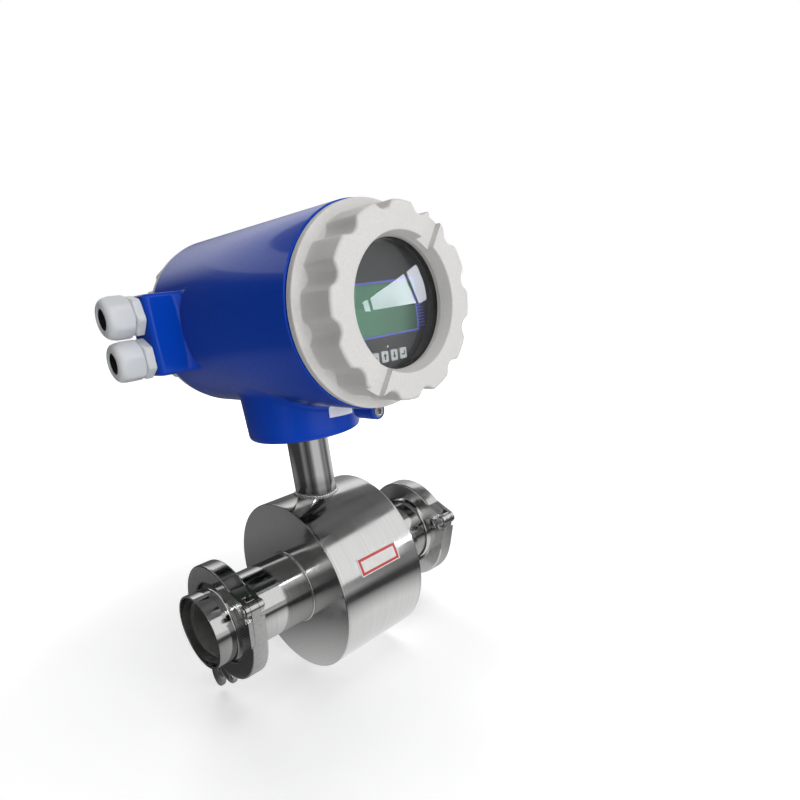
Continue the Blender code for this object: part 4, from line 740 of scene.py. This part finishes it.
class MakeDisplay(bpy.types.Operator):
    """Overlay, printed lines and key marks of the display"""
    bl_idname = "meter.make_display"
    bl_label = "Display"

    def execute(self, context):
        face = box("display_panel")[0].y
        left, right, low, high, line = -27.0, 26.2, HEAD_Z - 16.0, HEAD_Z + 12.2, 0.95
        black = moulded("black display overlay", (0.012, 0.014, 0.018), 0.28, 0.40, 900.0, 0.06)
        film = new_object("display_overlay", slab(-33, 34, low - 3, high + 3, face - 0.14, face - 0.01))
        combine(film, "DIFFERENCE", [slab(left, right, low, high, face - 5, face + 5)])
        dress(film, black, "meter", "panel_black")
        spans = [(left - line, right + line, high, high + line), (left - line, right + line, low - line, low),
                 (left - line, left, low, high), (right, right + line, low, high)]
        for k in range(8):
            z = low + 1.2 + 1.75 * k
            spans.append((right + line, right + 6.2, z, z + 0.5))
        violet = moulded("violet printed line", sizes("meter_finishes").print_violet, 0.3, 0.4, 900.0, 0.05)
        lines = joined(*(slab(*span, face - 0.2, face - 0.13) for span in spans))
        add("printed_frame", lines, violet, "meter", "panel_black")

        ink = moulded("black key print", (0.02, 0.02, 0.022), 0.4, 0.5)
        white = moulded("white printed mark", (0.7, 0.72, 0.74), 0.4, 0.5)
        for number, outline in enumerate(KEY_MARKS, 1):
            low, high = box(f"key_{number}")
            x, z = (low.x + high.x) / 2, (low.z + high.z) / 2
            mark = prism("Y", [(x + u, z + v) for u, v in outline], low.y - 0.06, low.y + 0.05)
            add(f"key_mark_{number}", mark, ink, f"key_{number}", "panel_black")
        x, z = (box("key_2")[0].x + box("key_3")[1].x) / 2, box("key_2")[1].z + 1.7
        mark = prism("Y", [(x - 0.8, z), (x + 0.8, z), (x, z + 1.5)], face - 0.06, face + 0.05)
        add("panel_mark", mark, white, "meter", "panel_black")
        return {"FINISHED"}


# Cable glands

GLAND_COUNT = 144


def hexagon(flat, turn, soft):
    """Radius of a hexagon with eased corners at any angle; flat is half its width across flats."""
    corner = flat / cos(TAU / 12)

    def reach(angle):
        offset = (angle - turn) % (TAU / 6) - TAU / 12
        straight = flat / cos(offset)
        return straight - soft * max(0.0, (straight - flat) / (corner - flat)) ** 3

    return reach


def within(outline, limit):
    return lambda angle: min(outline(angle), limit)


def domed(outline, radius):
    """The smaller of an outline and a radius at any angle, with a soft change between them."""
    return lambda angle: -log(exp(-2 * outline(angle)) + exp(-2 * radius)) / 2


def gland_body(outline, face, foot):
    """Hexagon foot of a gland, chamfered at both ends, with a spigot into the box."""
    profile = [(7, face), (within(outline, 12.9), face), (outline, face - 0.5), (outline, foot + 1.3)]
    profile += [(within(outline, 12.9 - 0.5 * k), foot + 1.3 - 1.3 * k / 4) for k in range(1, 5)]
    return turned("X", profile + [(10, foot), (10, foot - 9), (7, foot - 9)], GLAND_COUNT)


def gland_cap(outline, base, tip):
    """Cap nut whose hexagon runs into a dome with a round hole."""
    crown, neck = 6.4, 7.8
    chamfer, dome = base - 1, tip + crown
    profile = [(10.3, base), (11.5, base), (within(outline, 13.0), chamfer)]
    profile += [(within(outline, 13.35), chamfer + (dome - chamfer) * k / 7) for k in range(1, 8)]
    for k in range(1, 11):
        angle = TAU / 4 * k / 10
        profile.append((domed(outline, neck + (13.4 - neck) * cos(angle)), dome - crown * sin(angle)))
    profile += soften([(7.6, tip), (6.9, tip, 0.4), (6.9, tip + 3), (10.3, tip + 4)], 4, closed=False)
    return turned("X", profile, GLAND_COUNT)


class MakeGlands(bpy.types.Operator):
    """Two cable glands, each a body, a domed cap nut and a seal"""
    bl_idname = "meter.make_glands"
    bl_label = "Cable glands"

    def execute(self, context):
        grey = moulded("light grey polyamide", sizes("meter_finishes").gland_grey, 0.34, 0.46, 900.0, 0.08,
                       Subsurface_Weight=0.08, Subsurface_Scale=0.002)
        rubber = moulded("black gland rubber", (0.004, 0.004, 0.004), 0.65, 0.8, Specular_IOR_Level=0.2)
        for name, turn in (("upper", radians(14)), ("lower", radians(29))):
            low, high = box(f"gland_nut_{name}")
            tip, base, end = low.x, high.x, box(f"gland_seal_{name}")[1].x
            wide, narrow = hexagon(13.2 * cos(TAU / 12), turn, 0.35), hexagon(12.1, turn + TAU / 20, 0.5)
            seal = soften([(5.3, tip + 0.9, 0.4), (6.6, tip + 0.9, 0.4), (6.6, tip + 3), (5.9, tip + 4), (5.9, end),
                           (4, end), (4, tip + 5)], 4)
            centre = Matrix.Translation((0, (low.y + high.y) / 2, (low.z + high.z) / 2))
            for piece, mesh, finish, body, slot, node, crease in (
                    ("base", gland_body(wide, base + 5.9, base + 0.3), grey, "meter", "gland_grey", "body", 40),
                    ("cap_nut", gland_cap(narrow, base, tip), grey, f"gland_nut_{name}", "gland_grey", "nut", 42),
                    ("rubber", turned("X", seal, 64), rubber, f"gland_seal_{name}", "seal_black", "seal", 30)):
                add(f"gland_{piece}_{name}", moved(mesh, centre), finish, body, slot, f"gland_{node}_{name}",
                    crease=crease, mirrored=False)
        return {"FINISHED"}


# Neck, drum and pipe

SIDES = (("inlet", -1), ("outlet", 1))
POLISHED = ("meter", "polished_steel")


def bead(steps, count, spot):
    """A closed weld bead; spot(turn, angle) gives a point of its skin."""
    return loft([[spot(TAU * j / steps, TAU * i / count) for i in range(count)] for j in range(steps)], loop=True)


def saddle_bead(radius, size, ground, ripples):
    """A weld bead of small overlapping ripples round the neck, lying on the drum."""
    def spot(turn, angle):
        wave = sin(pi * (angle * ripples / TAU % 1.0))
        swell = size * (0.84 + 0.26 * wave + 0.07 * sin(5 * angle) + 0.06 * sin(13 * angle))
        reach = radius + size * 0.3 + swell * cos(turn)
        across = reach * sin(angle)
        height = sqrt(ground ** 2 - across ** 2) + size * 0.55 + swell * 0.9 * sin(turn)
        return (reach * cos(angle), across, height)

    return bead(10, 280, spot)


def round_bead(radius, size, x, sign, ripples):
    """A weld bead round the pipe, in the corner against an end cap."""
    def spot(turn, angle):
        swell = size * (0.9 + 0.12 * sin(pi * (angle * ripples / TAU % 1.0)))
        reach = radius + size * 0.5 + swell * cos(turn)
        along = x + sign * (size * 0.15 + swell * 0.85 * sin(turn))
        return (along, reach * cos(angle), reach * sin(angle))

    return bead(8, 320, spot)


class MakeNeck(bpy.types.Operator):
    """Neck tube and the weld at its foot"""
    bl_idname = "meter.make_neck"
    bl_label = "Neck"

    def execute(self, context):
        sensor = sizes("meter_sensor")
        radius, inner, top = sensor.neck_radius, sensor.neck_radius - 2, box("neck_tube")[1].z
        profile = [(inner, 57), (radius, 57), (radius, 80), (radius, top - 4), (27, top - 4), (27, top), (inner, top)]
        add("neck_pipe", turned("Z", profile), neck_steel(), *POLISHED, "neck_tube")
        weld = saddle_bead(radius, 1.2, sensor.drum_radius, sensor.weld_ripples)
        add("neck_weld", weld, steel("rippled weld"), *POLISHED, "neck_tube", crease=60)
        return {"FINISHED"}


class MakeDrum(bpy.types.Operator):
    """Drum, its two end caps and their welds"""
    bl_idname = "meter.make_drum"
    bl_label = "Drum"

    def execute(self, context):
        sensor, count = sizes("meter_sensor"), 192
        radius, half, tube, end = sensor.drum_radius, sensor.drum_half, sensor.tube_radius, sensor.drum_half - 2
        wall = [(radius - 2, -end), (radius, -end), (radius, end), (radius - 2, end)]
        shell = new_object("drum_wrap", turned("X", wall, count))
        combine(shell, "DIFFERENCE", [rod("Z", (0, 0), sensor.neck_radius + 0.2, 0, 80, 64)])
        dress(shell, steel("brushed drum steel"), "meter", "brushed_steel", "drum_shell")
        ground, weld = steel("polished end cap steel"), steel("cap weld")
        inner, hole = end + 0.02, tube + 0.1
        profile = soften([(hole, inner), (radius, inner), (radius, half, sensor.drum_edge), (hole, half)], 5)
        for label, sign in SIDES:
            cap = turned("X", [(reach, sign * x) for reach, x in profile], count)
            add(f"{label}_cap", cap, ground, *POLISHED, f"drum_cap_{label}")
            add(f"{label}_cap_weld", round_bead(tube, 0.95, sign * half, sign, 110), weld, *POLISHED,
                f"drum_cap_{label}", crease=60)
        return {"FINISHED"}


class MakePipe(bpy.types.Operator):
    """Flow tube, its liner, the two weld stubs and the gaskets"""
    bl_idname = "meter.make_pipe"
    bl_label = "Pipe"

    def execute(self, context):
        sensor, count = sizes("meter_sensor"), 144
        finish, tube, joint = steel("polished pipe steel"), sensor.tube_radius, sensor.joint_x
        bore, rim, end = tube - sensor.tube_wall, tube + 6.6, box("outlet_stub")[1].x - joint
        taper = 2.9 + 4.5 * tan(radians(20))
        half = [(bore, 1.1, 0.3), (rim, 1.1, 0.3), (rim, 2.9, 0.3), (tube + 2.1, taper, 0.2),
                (tube, taper + 2.0, 1.8)]
        outlet = [(reach, joint - x, edge) for reach, x, edge in half]
        inlet = [(reach, -x, edge) for reach, x, edge in reversed(outlet)]
        add("pipe", turned("X", soften(outlet + inlet, 5), count), finish, *POLISHED, "flow_tube")
        stub = half + [(tube, end, 0.25), (bore, end, 0.25)]
        white = moulded("white gasket", (0.74, 0.74, 0.72), 0.5, 0.65)
        for label, sign in SIDES:
            profile = [(reach, sign * (joint + x), edge) for reach, x, edge in stub]
            add(f"{label}_weld_stub", turned("X", soften(profile, 5), count), finish, *POLISHED, f"{label}_stub")
            near, far = sign * (joint - 0.8), sign * (joint + 0.8)
            profile = soften([(bore, near), (rim, near), (rim, far, 0.3), (bore, far, 0.3)])
            add(f"{label}_seal_ring", turned("X", profile), white, "meter", "gasket_white", f"{label}_gasket")
        low, high = box("liner")
        lining = moulded("white fluoropolymer", (0.52, 0.52, 0.51), 0.22, 0.34, 400.0, 0.06)
        add("pipe_lining", sleeve("X", 22.0, 23.6, low.x, high.x), lining, "meter", "liner_white", "liner")
        return {"FINISHED"}


# Clamps, in each clamp's own frame: hinge at -Y, swing bolt at +Y; spots are (y, z)

CLAMP_TURNS = (-28, -20)
HINGE = (-44.5, 0)
BOLT = (46.5, 8.5)
FORK_TOP, FORK_BOTTOM, NUT_FACE = -3.6, -14.0, -14.45
EAR_RADIUS = 4.6
PIN_HOLE, BOLT_PIN_HOLE = 2.45, 2.25
THREAD_RADIUS = 2.98


def channel(clamps):
    """The ring's V-channel, as (radius, x), with eased edges."""
    half, outer, bore, deep, slope = clamps.width / 2, clamps.radius, 28.5, 33.0, tan(radians(20))
    wall = 2.9 + 0.3 / cos(radians(20))
    groove, lip = wall - slope, wall + 3.5 * slope
    return soften([(bore, half, clamps.edge), (outer, half, 1.3), (outer, -half, 1.3), (bore, -half, clamps.edge),
                   (bore, -lip, 0.4), (deep, -groove, 0.4), (deep, groove, 0.4), (bore, lip, 0.4)], 3)


def ring_part(profile, start, sweep=169, count=72):
    """Part of a ring, closed by flat ends; start and sweep are degrees."""
    rings = []
    for i in range(count + 1):
        angle = radians(start) + radians(sweep) * i / count
        rings.append([(x, reach * cos(angle), reach * sin(angle)) for reach, x in profile])
    return loft(rings, caps=True)


def on_ring(radius, degrees):
    angle = radians(degrees)
    return (radius * cos(angle), radius * sin(angle))


def hinge_ear(root, radius=EAR_RADIUS):
    """Outline of an ear round the hinge; its root is given by (radius, degrees) on the ring."""
    return hull(circle(HINGE, radius, 36) + [on_ring(*spot) for spot in root])


def bar(spot, radius, half, count=24):
    """A round bar across the clamp."""
    return rod("X", spot, radius, -half, half, count)


def fixed_half(clamps):
    half, width, inset = clamps.width / 2, clamps.width, 0.3
    item = new_object("clamp_upper", ring_part(channel(clamps), 4))
    lug = hull(circle(BOLT, 4.8, 36) + [on_ring(35, 6), on_ring(39.3, 28)])
    combine(item, "DIFFERENCE", [bar(HINGE, 4.9, width, 36)])
    pieces = []
    for outline, inner in ((hinge_ear([(35, 167), (39.3, 156)]), 3.2), (lug, 3.3)):
        pieces += [prism("X", outline, -half, -inner), prism("X", outline, inner, half)]
    web = hinge_ear([(35, 167), (39.3 - inset, 156)], EAR_RADIUS - inset)
    combine(item, "UNION", pieces + [prism("X", web, -3.35, 3.35)])
    combine(item, "DIFFERENCE", [bar(HINGE, 8.0, 3.2, 64)])
    return combine(item, "DIFFERENCE", [bar(HINGE, PIN_HOLE, width), bar(BOLT, BOLT_PIN_HOLE, width)])


def swing_half(clamps):
    half, width, reach = clamps.width / 2, clamps.width, BOLT[0] + 4
    item = new_object("clamp_lower", ring_part(channel(clamps), -173))
    combine(item, "DIFFERENCE", [bar(HINGE, 6.4, width, 48)])
    tongue = hinge_ear([(36, 192), (36, 213), (40.2, 215)])
    fork = hull([(35, FORK_TOP), (reach, FORK_TOP), (reach, FORK_BOTTOM), (35, FORK_BOTTOM)])
    shoulder = hull([(-37, -7.6), (-44.2, -7.6), on_ring(40.1, 215), on_ring(36, 212.5)])
    combine(item, "UNION", [prism("X", tongue, -2.9, 2.9), prism("X", fork, -half, half),
                            prism("X", shoulder, -half, half)])
    low, high, side = BOLT[0] - 6.7, BOLT[0] + 14, 3.28
    slot = soften([(side, low, 3.2), (side, high), (-side, high), (-side, low, 3.2)], 8)
    return combine(item, "DIFFERENCE", [bar(HINGE, PIN_HOLE, width), prism("Z", slot, FORK_BOTTOM - 3, FORK_TOP + 3)])


def bolt_eye():
    eye = new_object("eye_bolt", bar(BOLT, 4.8, 3, 40))
    combine(eye, "UNION", [rod("Z", (0, BOLT[0]), THREAD_RADIUS, -4, 6, 28)])
    return combine(eye, "DIFFERENCE", [bar(BOLT, BOLT_PIN_HOLE, 5)])


def bolt_thread(pitch, count=28):
    """The swing bolt's rolled thread."""
    low, high = BOLT[1] - 45, -3.8
    rings = []
    steps = int((high - low) / pitch * 8)
    for k in range(steps + 1):
        z = low + (high - low) * k / steps
        taper = min(1.0, (z - low) / 0.8 + 0.15)
        points = []
        for i in range(count):
            angle = TAU * i / count
            wave = abs(2 * ((z / pitch - angle / TAU) % 1.0) - 1)
            reach = THREAD_RADIUS - 0.55 * wave - 0.5 * (1 - taper)
            points.append((reach * cos(angle), BOLT[0] + reach * sin(angle), z))
        rings.append(points)
    return new_object("thread", loft(rings, caps=True))


def spoon(side):
    """One wing of the nut: rounded round its edge and hollowed on both faces."""
    long, wide, thick, out, drop = 9.8, 6.3, 1.3, 9.8, -19.0
    layers = ((1.25, 0.30), (1.8, 0.55), (1.8, 0.74), (1.74, 0.88), (1.3, 0.965), (0.6, 1.0))
    turn = side * radians(26)
    rings = []
    for x, scale in [(-x, scale) for x, scale in layers] + list(reversed(layers)):
        points = []
        for y, z in circle((0, 0), scale, 40):
            y, z = wide * y, long * z
            points.append((thick * x, side * out + y * cos(turn) - z * sin(turn),
                           drop + y * sin(turn) + z * cos(turn)))
        rings.append(points)
    return loft(rings, caps=True)


def wing_nut():
    profile = soften([(2.9, 0.0, 0.3), (7.0, 0.0, 0.5), (5.6, -10, 1.0), (2.9, -10, 0.3)], 4)
    item = new_object("nut", turned("Z", profile, 48))
    combine(item, "UNION", [spoon(-1), spoon(1)])
    combine(item, "DIFFERENCE", [rod("Z", (0, 0), 3.1, -30, 3, 28)])
    item.data.transform(Matrix.Translation((0, BOLT[0], NUT_FACE)))
    return item


def pin(spot, radius, clamps):
    inner = clamps.width / 2 + 0.3
    side = [(radius, inner), (3.4, inner), (3.4, inner + 1.2, 0.5), (0.3, inner + 1.2)]
    profile = soften([(reach, -x, *rest) for reach, x, *rest in reversed(side)] + side, 3, closed=False)
    return moved(turned("X", profile, 36, solid=True), Matrix.Translation((0, *spot)))


class MakeClamps(bpy.types.Operator):
    """Two hinged clamps with their pins, swing bolts and wing nuts"""
    bl_idname = "meter.make_clamps"
    bl_label = "Clamps"

    def execute(self, context):
        clamps, joint = sizes("meter_clamps"), sizes("meter_sensor").joint_x
        cast, bright = steel("tumbled cast steel"), steel("turned screw steel")
        for (label, sign), degrees in zip(SIDES, CLAMP_TURNS):
            home = Matrix.Translation((sign * joint, 0, 0)) @ Matrix.Rotation(radians(degrees), 4, "X")
            for item, name, node, rounding in (
                    (bolt_eye(), "eye", "swing_bolt", 0.35),
                    (fixed_half(clamps), "clamp_top", "clamp_fixed_half", 0.45),
                    (swing_half(clamps), "clamp_jaw", "clamp_swing_half", 0.45),
                    (bolt_thread(clamps.thread_pitch), "thread", "swing_bolt", 0),
                    (wing_nut(), "winged_nut", "wing_nut", 0)):
                item.name, node = f"{label}_{name}", f"{label}_{node}"
                item.data.transform(home)
                dress(item, cast, "meter" if name == "clamp_top" else node, "cast_steel", node, rounding=rounding,
                      limit=45)
            for name, spot, radius in (("hinge_pin", HINGE, 2.2), ("bolt_pin", BOLT, 2)):
                add(f"{label}_{name}_fine", moved(pin(spot, radius, clamps), home), bright, "meter", "steel_screw",
                    f"{label}_{name}")
        return {"FINISHED"}


# Blank plate and sticker


def curved_patch(radius, spot_at, columns, rows, thickness):
    """A thin patch; spot_at(u, v, radius) gives a point for u and v from 0 to 1."""
    edge = [(j / rows, radius) for j in range(rows + 1)]
    edge += [(v, radius + thickness) for v, _ in reversed(edge)]
    return loft([[spot_at(i / columns, v, reach) for v, reach in edge] for i in range(columns + 1)], caps=True)


class MakeLabels(bpy.types.Operator):
    """Blank plate on the drum and blank sticker on the collar"""
    bl_idname = "meter.make_labels"
    bl_label = "Blank labels"

    def execute(self, context):
        head, drum_radius = sizes("meter_head"), sizes("meter_sensor").drum_radius

        def on_drum(u, v, reach):
            angle = radians(13.8 + 11.7 * v)
            return (-17 + 35 * u, -reach * cos(angle), reach * sin(angle))

        def on_collar(u, v, reach):
            angle = radians(-99.5 + 31.0 * u)
            height = -66.3 - 1.6 * u + (7.4 - 1.5 * u) * v
            wall = collar_reach(head, angle, height) + reach
            return (wall * cos(angle), wall * sin(angle), HEAD_Z + height)

        add("blank_plate", curved_patch(drum_radius + 0.02, on_drum, 10, 12, 0.2), bordered_plate(), "meter",
            "gasket_white")
        paper = moulded("white sticker film", (0.86, 0.89, 0.94), 0.3, 0.42, 300.0, 0.05)
        add("blank_sticker", curved_patch(0.03, on_collar, 24, 8, 0.12), paper, "meter", "gasket_white")
        return {"FINISHED"}


class FinishInside(bpy.types.Operator):
    """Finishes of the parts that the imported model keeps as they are"""
    bl_idname = "meter.finish_inside"
    bl_label = "Inner parts"

    def execute(self, context):
        for finish, names in (
                (moulded("black inner plastic", (0.012, 0.013, 0.016), 0.32, 0.48), "display_panel board_carrier"),
                (moulded("black seal rubber", (0.012, 0.012, 0.012), 0.65, 0.8),
                 "glass_gasket front_oring rear_oring neck_gasket"),
                (moulded("light grey key", (0.58, 0.60, 0.61), 0.4, 0.5, 900.0, 0.08), "key_1 key_2 key_3 key_4"),
                (moulded("green terminal plastic", (0.05, 0.30, 0.12), 0.4, 0.55), "terminal_block"),
                (circuit_board(), "main_board terminal_board"), (toughened_glass(), "window_glass"),
                (steel("turned screw steel"),
                 "neck_bolt_1 neck_bolt_2 neck_bolt_3 neck_bolt_4 board_screw_1 board_screw_2"),
                (screen_glass(), "lcd_screen"), (wound_copper(), "coil_upper coil_lower"),
                (steel("electrode alloy"), "electrode_front electrode_rear"),
                (steel("satin module frame"), "lcd_module")):
            for name in names.split():
                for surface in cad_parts[name].material_slots:
                    surface.material = finish
        return {"FINISHED"}


# Studio, in metres

CEILING_HEIGHT = 1.3
WINDOW_DISTANCE = 0.55
SMALL_LAMP = 0.5
LAMP_TARGET = (0, 0, 0.09)
CAMERA_SPOT = (-0.24084, -0.35189, 0.19437)
CAMERA_TURN = Matrix(((0.70189, 0.28857, -0.65121), (-0.70112, 0.11867, -0.70310), (-0.12561, 0.95008, 0.28562)))
FOCAL_PIXELS = 607.458
# Corners of the window's panes, as shares of the photograph's width and height
WINDOW_PANES = (((0.3625, 0.3025), (0.3675, 0.2995), (0.371, 0.311), (0.3655, 0.3115)),
                ((0.370, 0.298), (0.404, 0.274), (0.416, 0.3030), (0.3735, 0.310)),
                ((0.4065, 0.272), (0.4215, 0.260), (0.4340, 0.295), (0.4190, 0.3035)))
# Paler bays of the walls, as (degrees, level)
BAYS = ((-163, 0.25), (-140, 0.05), (-122, 0.15), (-104, 0.65), (-72, 0.65), (-56, 0.22), (-40, 0.30), (-22, 0.10),
        (5, 0.70), (35, 0.70), (60, 0.14), (100, 0.05))


def area_lamp(name, spot, size, power):
    """A soft lamp aimed at the meter; gloss shows only the small one."""
    data = bpy.data.lights.new(name, "AREA")
    data.shape = "RECTANGLE"
    data.size, data.size_y = size
    data.energy = power
    lamp = bpy.data.objects.new(name, data)
    lamp.location = spot
    lamp.rotation_euler = (Vector(LAMP_TARGET) - Vector(spot)).to_track_quat("-Z", "Y").to_euler()
    lamp.visible_glossy = size[0] < SMALL_LAMP
    bpy.context.scene.collection.objects.link(lamp)


def background_rays(tree):
    """1 for camera, glossy and transmission rays, 0 for the rest."""
    rays = tree.nodes.new("ShaderNodeLightPath")
    seen = rays.outputs["Is Camera Ray"]
    for name in ("Is Glossy Ray", "Is Transmission Ray"):
        either = tree.nodes.new("ShaderNodeMath")
        either.operation = "MAXIMUM"
        tree.links.new(seen, either.inputs[0])
        tree.links.new(rays.outputs[name], either.inputs[1])
        seen = either.outputs[0]
    return seen


def gloss_card(name, mesh, finish):
    """A studio card that only gloss shows."""
    item = new_object(name, mesh)
    item.data.materials.append(finish)
    item.visible_camera = item.visible_diffuse = item.visible_shadow = item.visible_transmission = False


def floor_finish():
    """White floor that keeps the shadow near the meter and fades to the white background."""
    recipe = Recipe("white floor", Roughness=0.9, Specular_IOR_Level=0.1)
    away = recipe.node("VectorMath", {0: recipe.place}, operation="LENGTH").outputs["Value"]
    lift = recipe.sum("MULTIPLY", recipe.spread(away, 0.42, 1.0, 0.25, 0.9), background_rays(recipe.tree))
    recipe.set(Base_Color=recipe.blend(recipe.noise(30.0, 2.0), (0.84, 0.84, 0.84), (0.88, 0.88, 0.88)),
               Emission_Color=(1, 1, 1), Emission_Strength=lift)
    return recipe.finish


def wall_finish(level):
    """Dark studio walls with paler bays, and two pale patches of floor; the one round the meter is a painted pool of
    light.
    """
    recipe = Recipe("dark surround", Base_Color=(0, 0, 0), Emission_Color=(1, 1, 1), Specular_IOR_Level=0.0)
    around = recipe.node("TexGradient", {0: recipe.place}, gradient_type="RADIAL").outputs["Fac"]
    ramp = recipe.node("ValToRGB", {"Fac": around})
    bays = ramp.color_ramp.elements
    bays[0].color = bays[1].color = (level, level, level, 1)
    for degrees, value in BAYS:
        bays.new(0.5 + degrees / 360).color = (value, value, value, 1)
    away = recipe.node("VectorMath", {0: recipe.place}, operation="LENGTH").outputs["Value"]
    far = recipe.sum("MULTIPLY", recipe.spread(away, 0.10, 1.0, 0.30, 0.50), ramp.outputs["Color"])
    # the pale patch round the meter is a painted pool of light; the second pale patch lies behind it
    near, behind = (recipe.node("VectorMath", {0: recipe.place, 1: centre}, operation="DISTANCE").outputs["Value"]
                    for centre in ((0.03, -0.05, -0.068), (-0.17, 0.42, -0.068)))
    height = recipe.node("SeparateXYZ", {0: recipe.place}).outputs["Z"]
    light_pool_and_pale_patch = recipe.sum("MAXIMUM", recipe.spread(near, 0.85, level, 0.05, 0.17),
                         recipe.spread(behind, 0.20, 0.0, 0.12, 0.38))
    ground = recipe.sum("MAXIMUM", light_pool_and_pale_patch, far)
    raised = recipe.sum("SUBTRACT", height, recipe.spread(around, 0.0, 0.45, 0.75, 0.79))
    recipe.set(Emission_Strength=recipe.sum("MAXIMUM", ground, recipe.spread(raised, 0.0, 1.0, 0.30, 0.95)))
    return recipe.finish


def surround(floor_height):
    """A dark floor and wall round the meter, low in front, where the light comes from, and pale at its top."""
    count, high, screen, low = 180, 0.95, 0.31, 0.02
    rings = [ring("Z", floor_height, reach, count) for reach in (0.02, 0.4, 1.2)]
    top = []
    for x, y, _ in ring("Z", floor_height, 1.35, count):
        degrees = 360 / TAU * atan2(y, x)
        height = high
        if -100 < degrees < 20:
            height = screen if -53 < degrees < -36 else low
        top.append((x, y, height))
    return loft(rings + [top])


def camera_ray(right, up):
    """Direction from the camera for a point right of and above the image's axis, in pixels of an 800 pixel image."""
    return (CAMERA_TURN @ Vector((right, up, -FOCAL_PIXELS))).normalized()


def window_card(distance):
    """The studio's bright window and its bars, where the meter's glass shows them."""
    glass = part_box("window_glass")[0].y
    eye = Vector(CAMERA_SPOT)
    mesh = bmesh.new()
    for pane in WINDOW_PANES:
        corners = []
        for across, down in pane:
            aim = camera_ray(across * 1000 - 400, 470 - down * 1000)
            hit = eye + aim * ((glass - eye.y) / aim.y)
            mirrored = Vector((aim.x, -aim.y, aim.z))
            corners.append(mesh.verts.new(hit + mirrored * (distance / abs(mirrored.y))))
        mesh.faces.new(corners)
    return mesh


class SetStage(bpy.types.Operator):
    """Floor, sky, soft lamps, studio cards and camera"""
    bl_idname = "meter.set_stage"
    bl_label = "Studio"

    def execute(self, context):
        studio = context.scene.meter_studio
        world = bpy.data.worlds.new("white studio")
        world.use_nodes = True
        tree = world.node_tree
        level = tree.nodes.new("ShaderNodeMapRange")
        level.inputs["To Min"].default_value = studio.sky
        tree.links.new(background_rays(tree), level.inputs["Value"])
        tree.links.new(level.outputs[0], tree.nodes["Background"].inputs["Strength"])
        tree.nodes["Background"].inputs["Color"].default_value = (1, 1, 1, 1)
        context.scene.world = world

        sheet = bmesh.new()
        bmesh.ops.create_grid(sheet, x_segments=1, y_segments=1, size=8)
        floor = new_object("floor", sheet)
        floor.location = (0, 0, studio.floor_height)
        floor.data.materials.append(floor_finish())
        gloss_card("dark_surround", surround(studio.floor_height + MM), wall_finish(studio.surround))
        bright = Recipe("bright window", Base_Color=(0, 0, 0), Emission_Color=(0.86, 0.90, 1.0))
        bright.set(Emission_Strength=bright.spread(bright.noise(9.0, 3.0), 8.0, 14.0, 0.35, 0.65))
        gloss_card("bright_window", window_card(WINDOW_DISTANCE), bright.finish)
        ceiling = Recipe("grey ceiling", Base_Color=(0, 0, 0), Emission_Color=(1, 1, 1))
        ceiling.set(Emission_Strength=ceiling.spread(ceiling.noise(1.5, 2.0), 0.04, 0.20, 0.3, 0.7))
        sheet = loft([ring("Z", CEILING_HEIGHT, reach, 48) for reach in (0.02, 1.38)])
        gloss_card("ceiling", sheet, ceiling.finish)

        for name, spot, size, power in (
                ("front softbox", (-0.10, -1.42, 0.30), (1.0, 0.8), studio.key_power),
                ("left softbox", (-1.3, -0.2, 0.5), (0.8, 0.8), 0.12 * studio.fill_power),
                ("small lamp", (-0.7, -1.0, 1.1), (0.10, 0.10), 0.6),
                ("top softbox", (0.25, -0.35, 1.35), (1.0, 0.8), studio.top_power),
                ("rear softbox", (0.4, 1.2, 0.9), (0.9, 0.7), 1.8 * studio.fill_power)):
            area_lamp(name, spot, size, power)

        camera = bpy.data.cameras.new("camera")
        camera.sensor_width = 36
        camera.lens = 27.336
        camera.shift_y = 0.0875
        camera.clip_start = 0.01
        eye = bpy.data.objects.new("camera", camera)
        eye.matrix_world = Matrix.Translation(CAMERA_SPOT) @ CAMERA_TURN.to_4x4()
        context.scene.collection.objects.link(eye)
        context.scene.camera = eye
        context.scene.view_settings.view_transform = "Standard"
        return {"FINISHED"}


STEPS = (MakeCasting, MakeCovers, MakeDisplay, MakeGlands, MakeNeck, MakeDrum, MakePipe, MakeClamps, MakeLabels,
         FinishInside, SetStage)
GROUPS = {"meter_head": HeadSizes, "meter_sensor": SensorSizes, "meter_clamps": ClampSizes,
          "meter_finishes": Finishes, "meter_studio": StudioSizes}


class MeterPanel(bpy.types.Panel):
    """Steps, sizes and colours of the flow meter"""
    bl_idname = "VIEW3D_PT_flow_meter"
    bl_label = "Flow meter"
    bl_space_type = "VIEW_3D"
    bl_region_type = "UI"
    bl_category = "Flow meter"

    def draw(self, context):
        for step in STEPS:
            self.layout.operator(step.bl_idname)
        for group in GROUPS:
            column = self.layout.box()
            values = getattr(context.scene, group)
            for name in values.bl_rna.properties.keys():
                if name not in ("rna_type", "name"):
                    column.prop(values, name)


def register():
    for group in (*GROUPS.values(), *STEPS, MeterPanel):
        bpy.utils.register_class(group)
    for name, group in GROUPS.items():
        setattr(bpy.types.Scene, name, bpy.props.PointerProperty(type=group))


def unregister():
    for name in GROUPS:
        delattr(bpy.types.Scene, name)
    for group in reversed((*GROUPS.values(), *STEPS, MeterPanel)):
        bpy.utils.unregister_class(group)


def main():
    register()
    for step in STEPS:
        family, name = step.bl_idname.split(".")
        getattr(getattr(bpy.ops, family), name)()


if __name__ == "__main__":
    main()
